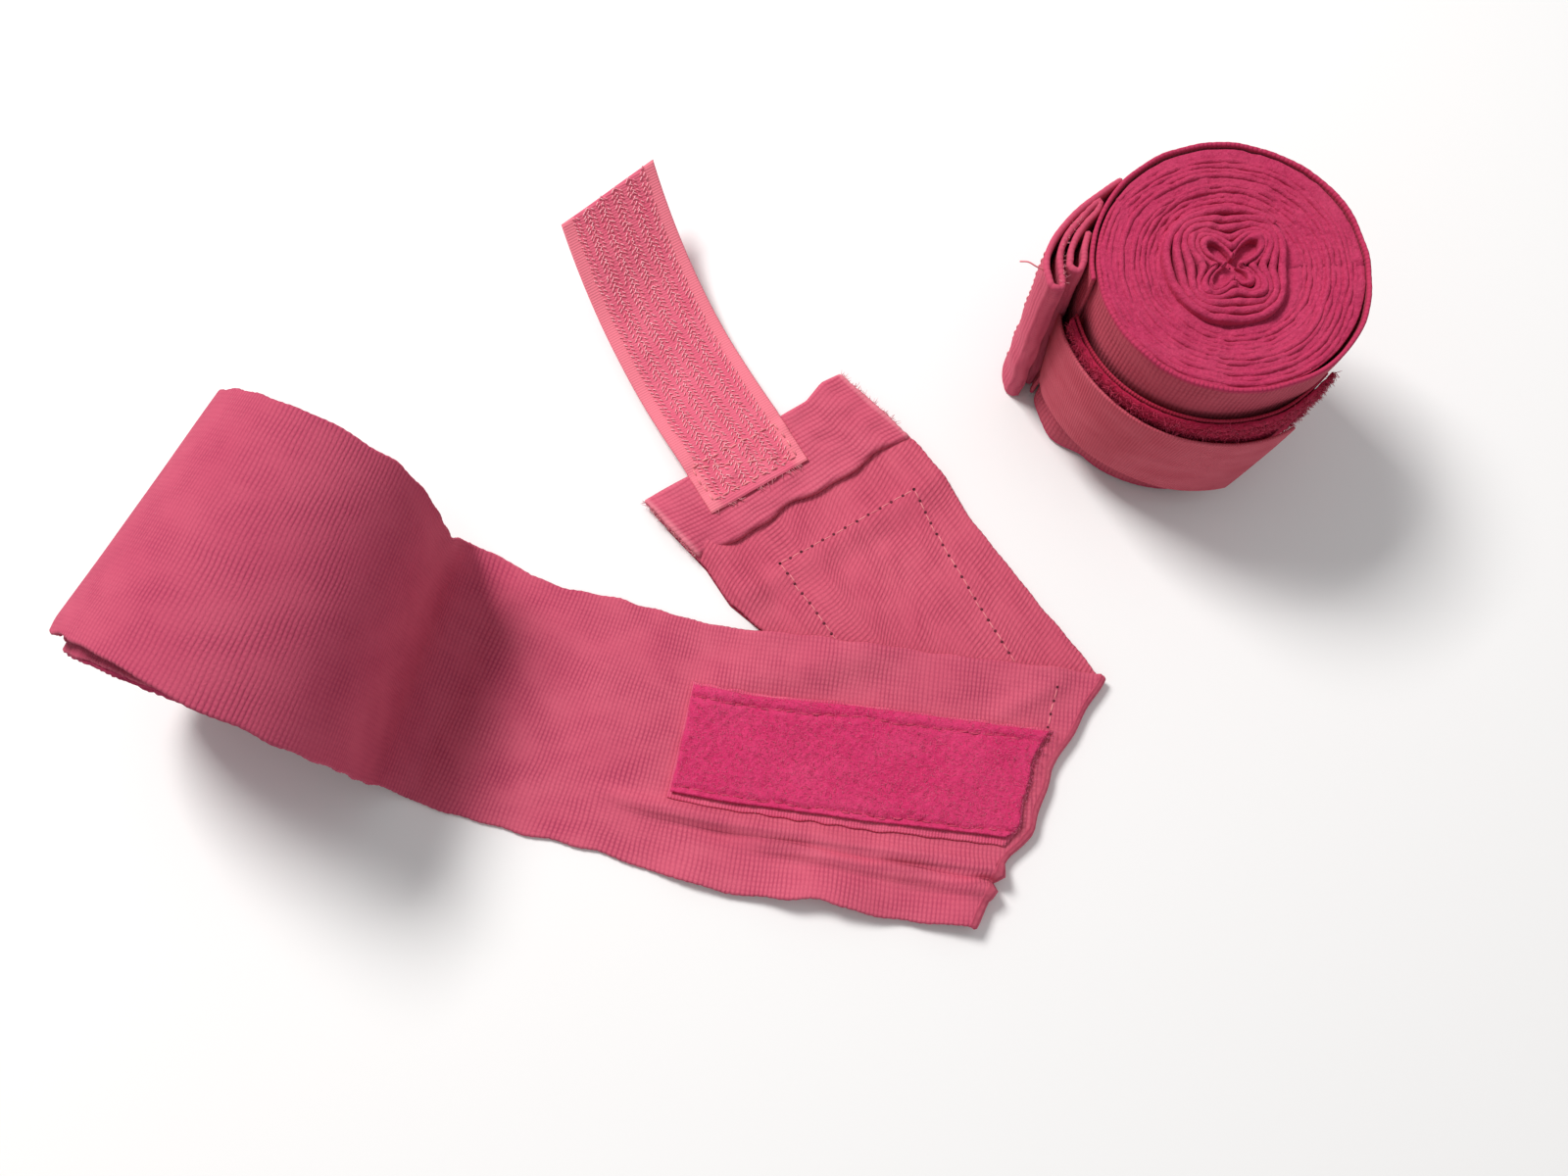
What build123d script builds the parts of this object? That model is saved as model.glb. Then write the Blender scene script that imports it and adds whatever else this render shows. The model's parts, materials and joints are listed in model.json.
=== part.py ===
"""A pair of boxing hand wraps lying on a table.

The open wrap is one 50 mm elastic cotton band: a loose roll lies at the left, the band comes over
the roll's top and down its right side, runs flat to a flat fold, and its tail comes back under the
run to a sewn hem with a curled hook strip.  A loop patch is sewn on the run and a label under the
tail.  The second wrap stands rolled up, its hook strip closed on its own loop patch.

Millimetres, +Z up.  The origin is at the middle of the pair's footprint, on the table.
"""
from build123d import *
from math import atan2, cos, degrees, radians, sin
import os

# Band and tapes
BAND_WIDTH = 50.0
BAND_THICKNESS = 0.8
TAPE_WIDTH = 23.5
TAPE_THICKNESS = 0.6
HOOK_WIDTH = 17.5
HOOK_HEIGHT = 0.5
PATCH_BACKING = 0.5
PILE_HEIGHT = 1.0
CLEARANCE = 0.3

# Places on the table and directions, in degrees from +X
FOLD_CENTRE = (62.58, -48.96)
RUN_ANGLE = -7.5
FOLD_ANGLE = 59.5
FREE_ANGLE = -21.0
SECOND_CENTRE = (93.58, 39.54)

# Heights of the undersides of the stacked layers
TAIL_BASE = 0.4
RUN_BASE = 2.0
FREE_BASE = 0.3

# Lengths along the band
TAIL_LENGTH = 96.0
HEM_DEPTH = 17.0
HEM_HEIGHT = 1.8
LABEL_LENGTH = 55.0
LABEL_WIDTH = 32.0
LABEL_START = 11.0
LABEL_OFFSET = -3.0
PANEL_LENGTH = 76.0
PATCH_START = 4.6
PATCH_LENGTH = 66.0
PATCH_OFFSET = -2.0
FREE_LENGTH = 37.0
FREE_DROP = 10.0
MITRE_SPARE = 4.0

# Loose roll at the left end of the run
ROLL_DISTANCE = 76.0
ROLL_RADIUS = 27.3
ROLL_PITCH = 1.1
ROLL_TURNS = 14
ROLL_GAP = 0.2
RAMP_FILLET = 8.0
RAMP_WRAP = 165.0

# Free hook strip: straight root, then (radius, turn) of each bend of its curl
STRIP_ROOT = 13.0
STRIP_OFFSET = 4.2
STRIP_SKEW = -4.0
STRIP_FLAT = 14.0
STRIP_BENDS = [(50.0, 24.0), (26.0, 34.0), (18.0, 44.0)]

# Second wrap, standing on its edge
SECOND_RADIUS = 25.2
SECOND_PITCH = 1.0
SECOND_TURNS = 13
HEM_ANGLE = 186.0
SECOND_HEM_SPAN = 18.0
SECOND_HEM_THICKNESS = 2.6
PATCH_SPAN = 128.0
CLOSED_SPAN = 118.0

# Folded cores of both rolls, thumb loops and stitches
CORE_LOBE = 4.9
CORE_SPREAD = 4.65
CORE_RISE = 0.5
LOOP_WIDTH = 20.0
LOOP_LENGTH = 9.0
STITCH = (1.5, 0.5, 0.25)
STITCH_PITCH = 2.6

UP = (0, 0, 1)


def heading(angle):
    """Unit vector on the table at an angle from +X."""
    return Vector(cos(radians(angle)), sin(radians(angle)), 0)


def left_of(angle):
    """Unit vector a quarter turn anticlockwise from a heading."""
    return heading(angle + 90)


def flat_frame(origin, angle):
    """Plane on the table: local X along the heading, local Y to its left, local Z up."""
    return Plane(origin, x_dir=heading(angle), z_dir=UP)


def side_frame(origin, angle, height=0.0):
    """Upright plane: local X along the heading, local Y up, local Z to the heading's right."""
    return Plane(origin + Vector(0, 0, height), x_dir=heading(angle), z_dir=-left_of(angle))


def slab(corners, base, thickness):
    """Flat sheet with the given plan corners."""
    outline = Polyline(*[(corner.X, corner.Y) for corner in corners], close=True)
    return Pos(0, 0, base) * extrude(make_face(outline), thickness)


def ribbon(start, angle, steps, low, high):
    """Section of a bent strip between two offsets from its path, to the left of travel.

    A step is ("line", length) or ("arc", radius, turn): a positive turn is anticlockwise.
    """
    def shifted(point, turn_angle, offset):
        side = left_of(turn_angle)
        return (point.X + side.X * offset, point.Y + side.Y * offset)

    edges = {low: [], high: []}
    point = Vector(start[0], start[1])
    ends = [[shifted(point, angle, low), shifted(point, angle, high)]]
    for step in steps:
        if step[0] == "line":
            stations = [(point + heading(angle) * step[1], angle)]
        else:
            radius, turn = step[1], step[2]
            sign = 1 if turn > 0 else -1
            centre = point + left_of(angle) * radius * sign
            stations = []
            for part in (0.5, 1.0):
                new_angle = angle + turn * part
                stations.append((centre - left_of(new_angle) * radius * sign, new_angle))
        for offset in (low, high):
            first = shifted(point, angle, offset)
            places = [shifted(place, turned, offset) for place, turned in stations]
            if len(places) == 1:
                edges[offset].append(Line(first, places[0]))
            else:
                edges[offset].append(ThreePointArc(first, places[0], places[1]))
        point, angle = stations[-1]
    ends.append([shifted(point, angle, low), shifted(point, angle, high)])
    caps = [Line(*pair) for pair in ends]
    return make_face(edges[low] + edges[high] + caps)


def bent_strip(frame, face, width):
    """Strip of the given width swept sideways from its section, about the frame's middle."""
    return frame.location * (Pos(0, 0, -width / 2) * extrude(face, width))


def spiral(outer_radius, pitch, thickness, turns, end_angle, width):
    """Rolled band: half circles about two centres, wound anticlockwise outwards."""
    growth = pitch / 2
    first = outer_radius - thickness / 2 - growth * (2 * turns - 0.5)
    inner, outer = [], []
    for half in range(2 * turns):
        centre = -growth / 2 if half % 2 == 0 else growth / 2
        sign = 1 if half % 2 == 0 else -1
        radius = first + growth * half
        for edges, r in ((inner, radius - thickness / 2), (outer, radius + thickness / 2)):
            start, end = (centre + sign * r, 0), (centre - sign * r, 0)
            edges.append(ThreePointArc(start, (centre, sign * r), end))
    caps = [Line(inner[0] @ 0, outer[0] @ 0), Line(inner[-1] @ 1, outer[-1] @ 1)]
    solid = extrude(make_face(inner + outer + caps), width)
    return Rot(0, 0, end_angle) * solid


def ring_part(centre, inner, outer, start_angle, span, base, height):
    """Piece of an upright tube between two angles."""
    section = ribbon((inner, 0), 90, [("arc", inner, span)], inner - outer, 0)
    return Pos(centre[0], centre[1], base) * (Rot(0, 0, start_angle) * extrude(section, height))


def stitch_row(start, end, height):
    """Row of separate stitches lying on a flat surface along a line."""
    run = end - start
    count = round(run.length / STITCH_PITCH)
    angle = degrees(atan2(run.Y, run.X))
    stitch = Box(*STITCH, align=(Align.CENTER, Align.CENTER, Align.MIN))
    places = [start + run * ((i + 0.5) / count) for i in range(count)]
    return [Pos(p.X, p.Y, height) * (Rot(0, 0, angle) * stitch) for p in places]


def upright_stitches(centre, radius, angle, base, top):
    """Vertical row of stitches on the outside of the standing roll."""
    count = round((top - base) / STITCH_PITCH)
    length, width, depth = STITCH
    stitch = Box(depth, width, length, align=(Align.MIN, Align.CENTER, Align.CENTER))
    spot = Pos(centre[0], centre[1], 0) * Rot(0, 0, angle)
    step = (top - base) / count
    return [spot * (Pos(radius, 0, base + step * (i + 0.5)) * stitch) for i in range(count)]


def core_folds():
    """Heart of a roll: the band's start, folded in four lobes round a slot for the thumb loop."""
    clover = Circle(CORE_LOBE / 2)
    for i in range(4):
        clover += Pos(*(heading(45 + 90 * i) * CORE_SPREAD)) * Circle(CORE_LOBE)
    return extrude(clover - SlotOverall(LOOP_LENGTH + 0.8, 4.6), BAND_WIDTH)


def thumb_loop():
    """Flattened loop of narrow tape, standing on its edge about the local Z axis."""
    outside = SlotOverall(LOOP_LENGTH, 3.0)
    inside = SlotOverall(LOOP_LENGTH - 1.6, 1.4)
    return extrude(outside - inside, LOOP_WIDTH)


def thumb_loop_stitches():
    """Bar of stitches across the thumb loop's flat side."""
    stitch = Box(0.5, STITCH[2], 1.5, align=(Align.CENTER, Align.MIN, Align.CENTER))
    return [Pos(-1.5, 1.5, 2.0 + STITCH_PITCH * i) * stitch for i in range(7)]


# Plan geometry of the open wrap
tail_angle = 2 * FOLD_ANGLE - RUN_ANGLE
fold = Vector(*FOLD_CENTRE)
half = BAND_WIDTH / 2
fold_half = heading(FOLD_ANGLE) * (half / sin(radians(FOLD_ANGLE - RUN_ANGLE)))
run_back = heading(RUN_ANGLE) * -1
free_back = heading(FREE_ANGLE) * -1
panel_end = fold + run_back * PANEL_LENGTH
mitre_angle = 90 + (RUN_ANGLE + FREE_ANGLE) / 2
mitre_half = heading(mitre_angle) * (half / cos(radians((RUN_ANGLE - FREE_ANGLE) / 2)))
tail_end = fold + heading(tail_angle) * (TAIL_LENGTH - 1.6)
tail_side = left_of(tail_angle)
free_frame = side_frame(panel_end, FREE_ANGLE + 180)
free_end = panel_end + free_back * FREE_LENGTH
roll_centre = panel_end + free_back * ROLL_DISTANCE

parts = {}

# Tail: band, hem and label, lying under the run
tail_corners = [fold + fold_half, tail_end - tail_side * half, tail_end + tail_side * half, fold - fold_half]
parts["tail_band"] = slab(tail_corners, TAIL_BASE, BAND_THICKNESS)

tail_top = TAIL_BASE + BAND_THICKNESS
hem_top = tail_top + HEM_HEIGHT
hem_back = TAIL_LENGTH - HEM_DEPTH
hem_section = make_face(Polyline(
    (hem_back, tail_top), (TAIL_LENGTH - 1.6, tail_top), (TAIL_LENGTH - 1.6, TAIL_BASE),
    (TAIL_LENGTH - 0.6, TAIL_BASE), (TAIL_LENGTH, TAIL_BASE + 0.6), (TAIL_LENGTH, hem_top - 0.6),
    (TAIL_LENGTH - 0.6, hem_top), (hem_back, hem_top), close=True))
parts["tail_hem"] = bent_strip(side_frame(fold, tail_angle), hem_section, BAND_WIDTH)

label_frame = flat_frame(fold, tail_angle)
label = Box(LABEL_LENGTH, LABEL_WIDTH, TAIL_BASE, align=(Align.MIN, Align.CENTER, Align.MIN))
parts["tail_label"] = label_frame.location * (Pos(LABEL_START, LABEL_OFFSET, 0) * label)


def on_tail(along, across):
    """Plan point on the tail, measured from the fold's middle."""
    return fold + heading(tail_angle) * along + tail_side * across


label_low = LABEL_OFFSET - LABEL_WIDTH / 2 + 1.5
label_high = LABEL_OFFSET + LABEL_WIDTH / 2 - 1.5
label_far = LABEL_START + LABEL_LENGTH - 1.5
label_near = LABEL_START + 1.5
parts["label_stitching"] = Compound(
    stitch_row(on_tail(label_near, label_low), on_tail(label_far, label_low), tail_top)
    + stitch_row(on_tail(label_far, label_low), on_tail(label_far, label_high), tail_top)
    + stitch_row(on_tail(label_far, label_high), on_tail(label_near, label_high), tail_top))

# Hook strip: its sewn root lies on the hem and its free end curls up
strip_angle = tail_angle + STRIP_SKEW
strip_origin = on_tail(TAIL_LENGTH, STRIP_OFFSET)
strip_frame = side_frame(strip_origin, strip_angle, hem_top)
root_section = ribbon((-STRIP_ROOT, 0), 0, [("line", STRIP_ROOT)], 0, TAPE_THICKNESS)
curl = [("line", STRIP_FLAT)] + [("arc", radius, turn) for radius, turn in STRIP_BENDS]
tape_section = ribbon((0, 0), 0, curl, 0, TAPE_THICKNESS)
hook_curl = [("line", STRIP_FLAT - 2)] + curl[1:-1] + [("arc", STRIP_BENDS[-1][0], STRIP_BENDS[-1][1] - 6)]
hook_section = ribbon((2, 0), 0, hook_curl, TAPE_THICKNESS, TAPE_THICKNESS + HOOK_HEIGHT)
parts["hook_strip_root"] = bent_strip(strip_frame, root_section, TAPE_WIDTH)
parts["hook_strip_tape"] = bent_strip(strip_frame, tape_section, TAPE_WIDTH)
parts["hook_strip_hooks"] = bent_strip(strip_frame, hook_section, HOOK_WIDTH)

root_top = hem_top + TAPE_THICKNESS
root_side = left_of(strip_angle) * (TAPE_WIDTH / 2 - 1.5)
parts["strip_stitching"] = Compound([
    stitch for back in (3.0, STRIP_ROOT - 2.0)
    for stitch in stitch_row(strip_origin - heading(strip_angle) * back - root_side,
                             strip_origin - heading(strip_angle) * back + root_side, root_top)])
clear_of_tape = TAPE_WIDTH / 2 + 2.5
parts["hem_stitching"] = Compound([
    stitch for across in ((-half + 1.5, STRIP_OFFSET - clear_of_tape), (STRIP_OFFSET + clear_of_tape, half - 1.5))
    for stitch in stitch_row(on_tail(hem_back + 3, across[0]), on_tail(hem_back + 3, across[1]), hem_top)])

# Fold: the band turns from the tail up into the run about the fold line
fold_axis_height = (TAIL_BASE + RUN_BASE + BAND_THICKNESS) / 2
turn_radius = fold_axis_height - TAIL_BASE
turn_section = ribbon((0, -turn_radius), 0, [("arc", turn_radius, 180)], 0, BAND_THICKNESS)
turn_frame = side_frame(fold, FOLD_ANGLE - 90, fold_axis_height)
parts["fold_turn"] = bent_strip(turn_frame, turn_section, 2 * fold_half.length)

# Run: the patch panel, and the free stretch that drops to the table
run_corners = [fold - fold_half, fold + fold_half, panel_end + mitre_half, panel_end - mitre_half]
parts["patch_panel"] = slab(run_corners, RUN_BASE, BAND_THICKNESS)
run_top = RUN_BASE + BAND_THICKNESS
patch_frame = flat_frame(fold, RUN_ANGLE + 180)


def on_run(along, across):
    """Plan point on the patch panel, measured from the fold's middle."""
    return fold + run_back * along + left_of(RUN_ANGLE + 180) * across


def patch_layer(inset, base, thickness):
    """Flat layer of the loop patch."""
    layer = Box(PATCH_LENGTH - 2 * inset, TAPE_WIDTH - 2 * inset, thickness,
                align=(Align.MIN, Align.CENTER, Align.MIN))
    return patch_frame.location * (Pos(PATCH_START + inset, PATCH_OFFSET, base) * layer)


parts["loop_patch_backing"] = patch_layer(0.0, run_top, PATCH_BACKING)
parts["loop_patch_pile"] = patch_layer(0.6, run_top + PATCH_BACKING, PILE_HEIGHT)
pile_top = run_top + PATCH_BACKING + PILE_HEIGHT
seam = TAPE_WIDTH / 2 - 2.5
parts["loop_patch_stitching"] = Compound([
    stitch for across in (PATCH_OFFSET - seam, PATCH_OFFSET + seam)
    for stitch in stitch_row(on_run(PATCH_START + 2, across), on_run(PATCH_START + PATCH_LENGTH - 2, across),
                             pile_top)])

free_corners = [panel_end - mitre_half, panel_end + mitre_half,
                free_end - left_of(FREE_ANGLE + 180) * half, free_end + left_of(FREE_ANGLE + 180) * half]
free_plan = slab(free_corners, 0, run_top + 1)
free_section = make_face(Polyline(
    (-MITRE_SPARE, RUN_BASE), (0, RUN_BASE), (FREE_DROP, FREE_BASE), (FREE_LENGTH, FREE_BASE),
    (FREE_LENGTH, FREE_BASE + BAND_THICKNESS), (FREE_DROP, FREE_BASE + BAND_THICKNESS), (0, run_top),
    (-MITRE_SPARE, run_top), close=True))
parts["free_run"] = bent_strip(free_frame, free_section, BAND_WIDTH + 2) & free_plan

# Ramp: the band rises from the table, up the roll's side and over its top
roll_height = ROLL_RADIUS + ROLL_GAP
ramp_inner = ROLL_RADIUS + CLEARANCE
upright = roll_height - FREE_BASE - BAND_THICKNESS - RAMP_FILLET
ramp_steps = [("line", ROLL_DISTANCE - ramp_inner - BAND_THICKNESS - RAMP_FILLET - FREE_LENGTH),
              ("arc", RAMP_FILLET, 90), ("line", upright), ("arc", ramp_inner + BAND_THICKNESS, -RAMP_WRAP)]
ramp_section = ribbon((FREE_LENGTH, FREE_BASE + BAND_THICKNESS), 0, ramp_steps, -BAND_THICKNESS, 0)
parts["band_ramp"] = bent_strip(free_frame, ramp_section, BAND_WIDTH)

# Loose roll, on its side, with the thumb loop in its core
roll_frame = side_frame(roll_centre, FREE_ANGLE + 180, roll_height)
roll = spiral(ROLL_RADIUS, ROLL_PITCH, BAND_THICKNESS, ROLL_TURNS, 180 - RAMP_WRAP, BAND_WIDTH)
parts["rolled_band"] = roll_frame.location * (Pos(0, 0, -half) * roll)
parts["core_folds"] = roll_frame.location * (Pos(0, 0, -half) * core_folds())
loop_frame = roll_frame.location * Pos(0, 0, -LOOP_WIDTH / 2)
parts["thumb_loop"] = loop_frame * thumb_loop()
parts["thumb_loop_stitching"] = Compound([loop_frame * stitch for stitch in thumb_loop_stitches()])

# Second wrap: rolled band round a folded core
second_roll = spiral(SECOND_RADIUS, SECOND_PITCH, BAND_THICKNESS, SECOND_TURNS, HEM_ANGLE, BAND_WIDTH)
second_spot = Pos(SECOND_CENTRE[0], SECOND_CENTRE[1], 0)
parts["second_rolled_band"] = second_spot * second_roll
parts["second_core_folds"] = second_spot * (Pos(0, 0, CORE_RISE) * core_folds())
second_loop_spot = second_spot * Pos(0, 0, half - LOOP_WIDTH / 2)
parts["second_thumb_loop"] = second_loop_spot * thumb_loop()
parts["second_thumb_loop_stitching"] = Compound([second_loop_spot * s for s in thumb_loop_stitches()])

# Second wrap's hem, loop patch and closed hook strip, in layers round the roll
patch_base = SECOND_RADIUS + 0.1
pile_base = patch_base + PATCH_BACKING
hook_base = pile_base + PILE_HEIGHT + CLEARANCE
tape_base = hook_base + HOOK_HEIGHT
tape_outer = tape_base + TAPE_THICKNESS
hem_outer = patch_base + SECOND_HEM_THICKNESS
tape_low = (BAND_WIDTH - TAPE_WIDTH) / 2
parts["second_hem"] = ring_part(SECOND_CENTRE, patch_base, hem_outer, HEM_ANGLE - SECOND_HEM_SPAN,
                                SECOND_HEM_SPAN, 0, BAND_WIDTH)
parts["second_hem_stitching"] = Compound(
    upright_stitches(SECOND_CENTRE, hem_outer, HEM_ANGLE - SECOND_HEM_SPAN + 4, 2, BAND_WIDTH - 2))
patch_from = HEM_ANGLE + 1
parts["second_loop_backing"] = ring_part(SECOND_CENTRE, patch_base, pile_base, patch_from, PATCH_SPAN,
                                         tape_low + 1, TAPE_WIDTH)
parts["second_loop_pile"] = ring_part(SECOND_CENTRE, pile_base, pile_base + PILE_HEIGHT, patch_from + 1,
                                      PATCH_SPAN - 2, tape_low + 1.6, TAPE_WIDTH - 1.2)
parts["closed_strip_tape"] = ring_part(SECOND_CENTRE, tape_base, tape_outer, HEM_ANGLE, CLOSED_SPAN,
                                       tape_low - 1, TAPE_WIDTH)
parts["closed_strip_hooks"] = ring_part(SECOND_CENTRE, hook_base, tape_base, HEM_ANGLE + 4,
                                        CLOSED_SPAN - 8, tape_low + 2, HOOK_WIDTH)

os.makedirs("parts", exist_ok=True)
for name, solid in parts.items():
    export_step(solid, f"parts/{name}.step")

whole = Compound([solid for solid in parts.values()]).bounding_box()
print("box", whole.min, whole.max, "centre", whole.center())
peel = second_spot * Pos(*(heading(HEM_ANGLE) * tape_outer))
print("fold axis", fold, fold_axis_height, heading(FOLD_ANGLE))
print("strip hinge", strip_origin, root_top, left_of(strip_angle))
print("roll", roll_centre, roll_height, "travel", heading(FREE_ANGLE), "axis", left_of(FREE_ANGLE))
print("peel hinge", peel.position, "label middle", on_tail(LABEL_START + LABEL_LENGTH / 2, LABEL_OFFSET))
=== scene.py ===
"""The pair of boxing hand wraps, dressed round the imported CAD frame.

Shapes are worked out in millimetres in the frame's own axes and turned into metres when a mesh is made.
A cloth is a function of two lengths on its flat cut, and everything sewn on it follows that function.
"""
import json
from math import atan2, cos, degrees, pi, radians, sin

import bpy
import numpy as np
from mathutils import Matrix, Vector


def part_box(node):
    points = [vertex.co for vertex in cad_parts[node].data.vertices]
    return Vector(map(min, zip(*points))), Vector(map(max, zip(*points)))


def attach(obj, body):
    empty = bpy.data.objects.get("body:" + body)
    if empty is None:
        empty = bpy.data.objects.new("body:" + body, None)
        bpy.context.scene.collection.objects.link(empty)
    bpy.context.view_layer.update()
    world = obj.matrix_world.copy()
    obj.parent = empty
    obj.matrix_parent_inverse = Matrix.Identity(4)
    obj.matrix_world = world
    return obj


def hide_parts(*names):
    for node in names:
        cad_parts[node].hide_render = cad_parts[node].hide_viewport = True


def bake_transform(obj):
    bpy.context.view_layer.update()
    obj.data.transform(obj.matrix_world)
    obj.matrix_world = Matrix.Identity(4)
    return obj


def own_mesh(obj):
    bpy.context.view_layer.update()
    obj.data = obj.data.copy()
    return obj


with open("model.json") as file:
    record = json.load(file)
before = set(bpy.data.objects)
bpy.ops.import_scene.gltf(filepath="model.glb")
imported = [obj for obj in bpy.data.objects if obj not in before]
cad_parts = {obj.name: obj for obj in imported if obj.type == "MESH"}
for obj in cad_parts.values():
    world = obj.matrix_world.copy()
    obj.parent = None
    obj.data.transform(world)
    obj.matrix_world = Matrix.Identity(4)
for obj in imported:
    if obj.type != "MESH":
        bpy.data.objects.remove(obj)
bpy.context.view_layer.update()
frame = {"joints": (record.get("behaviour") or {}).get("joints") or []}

MM = 0.001
UP = np.array([0.0, 0.0, 1.0])
BAND = 50.0            # band width
HALF = BAND / 2
THICK = 0.8            # band thickness
TAPE = 23.5            # hook and loop tape width
TAPE_THICK = 0.6

joints = {joint["name"]: joint for joint in frame["joints"]}


def joint_place(name):
    """A hinge's point in millimetres."""
    return np.array(joints[name]["pos_m"]) / MM


def heading(angle):
    """Unit vectors on the table for angles in degrees."""
    a = np.radians(angle)
    return np.stack([np.cos(a), np.sin(a), np.zeros_like(a)], -1)


def angle_of(vector):
    return degrees(atan2(vector[1], vector[0]))


def smooth(value):
    """Smooth step from 0 to 1 as value goes from 0 to 1."""
    t = np.clip(value, 0, 1)
    return t * t * (3 - 2 * t)


def hump(value, low, high, soft):
    """1 between low and high, falling to 0 over a soft margin outside them."""
    return smooth((value - low) / soft + 1) * smooth((high - value) / soft + 1)


def ripple(x, y, size, seed, waves=7):
    """Gentle irregular waves of about the given size, between about -1 and 1."""
    rng = np.random.default_rng(seed)
    total = 0.0
    for _ in range(waves):
        turn, phase, scale = rng.uniform(0, 2 * pi), rng.uniform(0, 2 * pi), rng.uniform(0.6, 1.6)
        total = total + np.sin((x * cos(turn) + y * sin(turn)) * 2 * pi * scale / size + phase)
    return total / waves ** 0.5 / 1.3


def ridge(x, y, start, end, height, width):
    """A soft long fold along a line, fading at its ends."""
    start, end = np.array(start, float), np.array(end, float)
    run = end - start
    length = np.hypot(*run)
    along = ((x - start[0]) * run[0] + (y - start[1]) * run[1]) / length
    off = ((x - start[0]) * run[1] - (y - start[1]) * run[0]) / length
    return height * bell(off, width) * hump(along, 0, length, 0.35 * length)


def bell(value, width):
    """Bump of height 1 at 0 that falls off over the given width."""
    return np.exp(-(value / width) ** 2)


def look_up(place, table):
    """Value at a place from a table of (place, value) pairs, with straight lines between them."""
    return np.interp(place, *np.transpose(table))


def grid(u, v):
    return np.meshgrid(u, v, indexing="ij")


def passed(distance, *stretches):
    """How much of each of a row of stretches a distance has passed, from 0 to 1 each."""
    shares = []
    for length in stretches:
        shares.append(np.clip(distance / length, 0, 1))
        distance = distance - length
    return shares


# ---------------------------------------------------------------- meshes

def make_object(name, points, faces, uv, material):
    """Smooth mesh object from points in millimetres, groups of equal-sided faces, and a UV per point."""
    mesh = bpy.data.meshes.new(name)
    mesh.vertices.add(len(points))
    mesh.vertices.foreach_set("co", (np.asarray(points) * MM).astype(np.float32).ravel())
    loops = np.concatenate([np.asarray(group).ravel() for group in faces])
    sizes = np.concatenate([np.full(len(group), np.asarray(group).shape[1]) for group in faces])
    mesh.loops.add(len(loops))
    mesh.loops.foreach_set("vertex_index", loops.astype(np.int32))
    mesh.polygons.add(len(sizes))
    mesh.polygons.foreach_set("loop_start", (np.cumsum(sizes) - sizes).astype(np.int32))
    mesh.polygons.foreach_set("use_smooth", np.ones(len(sizes), bool))
    layer = mesh.uv_layers.new(name="UVMap")
    layer.data.foreach_set("uv", np.asarray(uv)[loops].astype(np.float32).ravel())
    mesh.update()
    mesh.validate()
    obj = bpy.data.objects.new(name, mesh)
    bpy.context.scene.collection.objects.link(obj)
    obj.data.materials.append(material)
    return obj


def surface_frame(shape, u, v):
    """Points and unit normals of a cloth function at arrays of lengths."""
    step = 0.05
    points = shape(u, v)
    du = shape(u + step, v) - shape(u - step, v)
    dv = shape(u, v + step) - shape(u, v - step)
    normal = np.cross(du, dv)
    return points, normal / np.maximum(np.linalg.norm(normal, axis=-1, keepdims=True), 1e-9)


def grid_faces(rows, columns, flip=False, first=0):
    """Quads of a grid of points numbered row by row."""
    i, j = grid(np.arange(rows - 1), np.arange(columns - 1))
    a = (i * columns + j).ravel() + first
    quads = np.stack([a, a + columns, a + columns + 1, a + 1], -1)
    return quads[:, ::-1] if flip else quads


def rims(middle, lift, bulge):
    """Points along the two long edges of a sheet, pushed out so that the edges look rounded."""
    out = []
    for edge, inner in ((0, 1), (-1, -2)):
        side = middle[:, edge] - middle[:, inner]
        side /= np.maximum(np.linalg.norm(side, axis=-1, keepdims=True), 1e-9)
        out.append(middle[:, edge] + side * np.linalg.norm(lift[:, edge], axis=-1, keepdims=True) * 2 * bulge)
    return out


def flipped(faces, back):
    """Faces with their corners the other way round, if asked."""
    return faces[:, ::-1] if back else faces


def long_edge_faces(rows, columns):
    """Faces from both sides of a sheet to its two rims, with the corners at their ends."""
    faces, line, total = [], np.arange(rows), rows * columns
    for k, edge in enumerate((0, columns - 1)):
        top, bottom, rim = line * columns + edge, total + line * columns + edge, 2 * total + k * rows + line
        for a, b in ((top, rim), (rim, bottom)):
            faces.append(flipped(np.stack([a[:-1], b[:-1], b[1:], a[1:]], -1), k))
        for end in (0, -1):
            corner = np.array([[top[end], rim[end], bottom[end]]])
            faces.append(flipped(corner, (end == 0) != (k == 1)))
    return faces


def short_edge_faces(rows, columns):
    """Faces that close the two ends of a sheet."""
    faces, row, total = [], np.arange(columns), rows * columns
    for k, start in enumerate((0, (rows - 1) * columns)):
        a, b = start + row, total + start + row
        faces.append(flipped(np.stack([a[:-1], a[1:], b[1:], b[:-1]], -1), k))
    return faces


def cloth(name, shape, u, v, thickness, material, uv=None, bulge=0.45):
    """Sheet of cloth with two faces and rounded rims.

    shape(u, v) is its middle surface, and u and v are grids of lengths. bulge rounds the long edges.
    """
    rows, columns = u.shape
    middle, normal = surface_frame(shape, u, v)
    lift = normal * np.broadcast_to(thickness, u.shape)[..., None] / 2
    both = [(middle + lift).reshape(-1, 3), (middle - lift).reshape(-1, 3)]
    points = np.concatenate([*both, *rims(middle, lift, bulge)])
    faces = [grid_faces(rows, columns), grid_faces(rows, columns, True, rows * columns),
             *long_edge_faces(rows, columns), *short_edge_faces(rows, columns)]
    flat = np.stack([u, v], -1) if uv is None else uv
    flat = np.concatenate([flat.reshape(-1, 2), flat.reshape(-1, 2), flat[:, 0], flat[:, -1]])
    return make_object(name, points, faces, flat, material)


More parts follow.
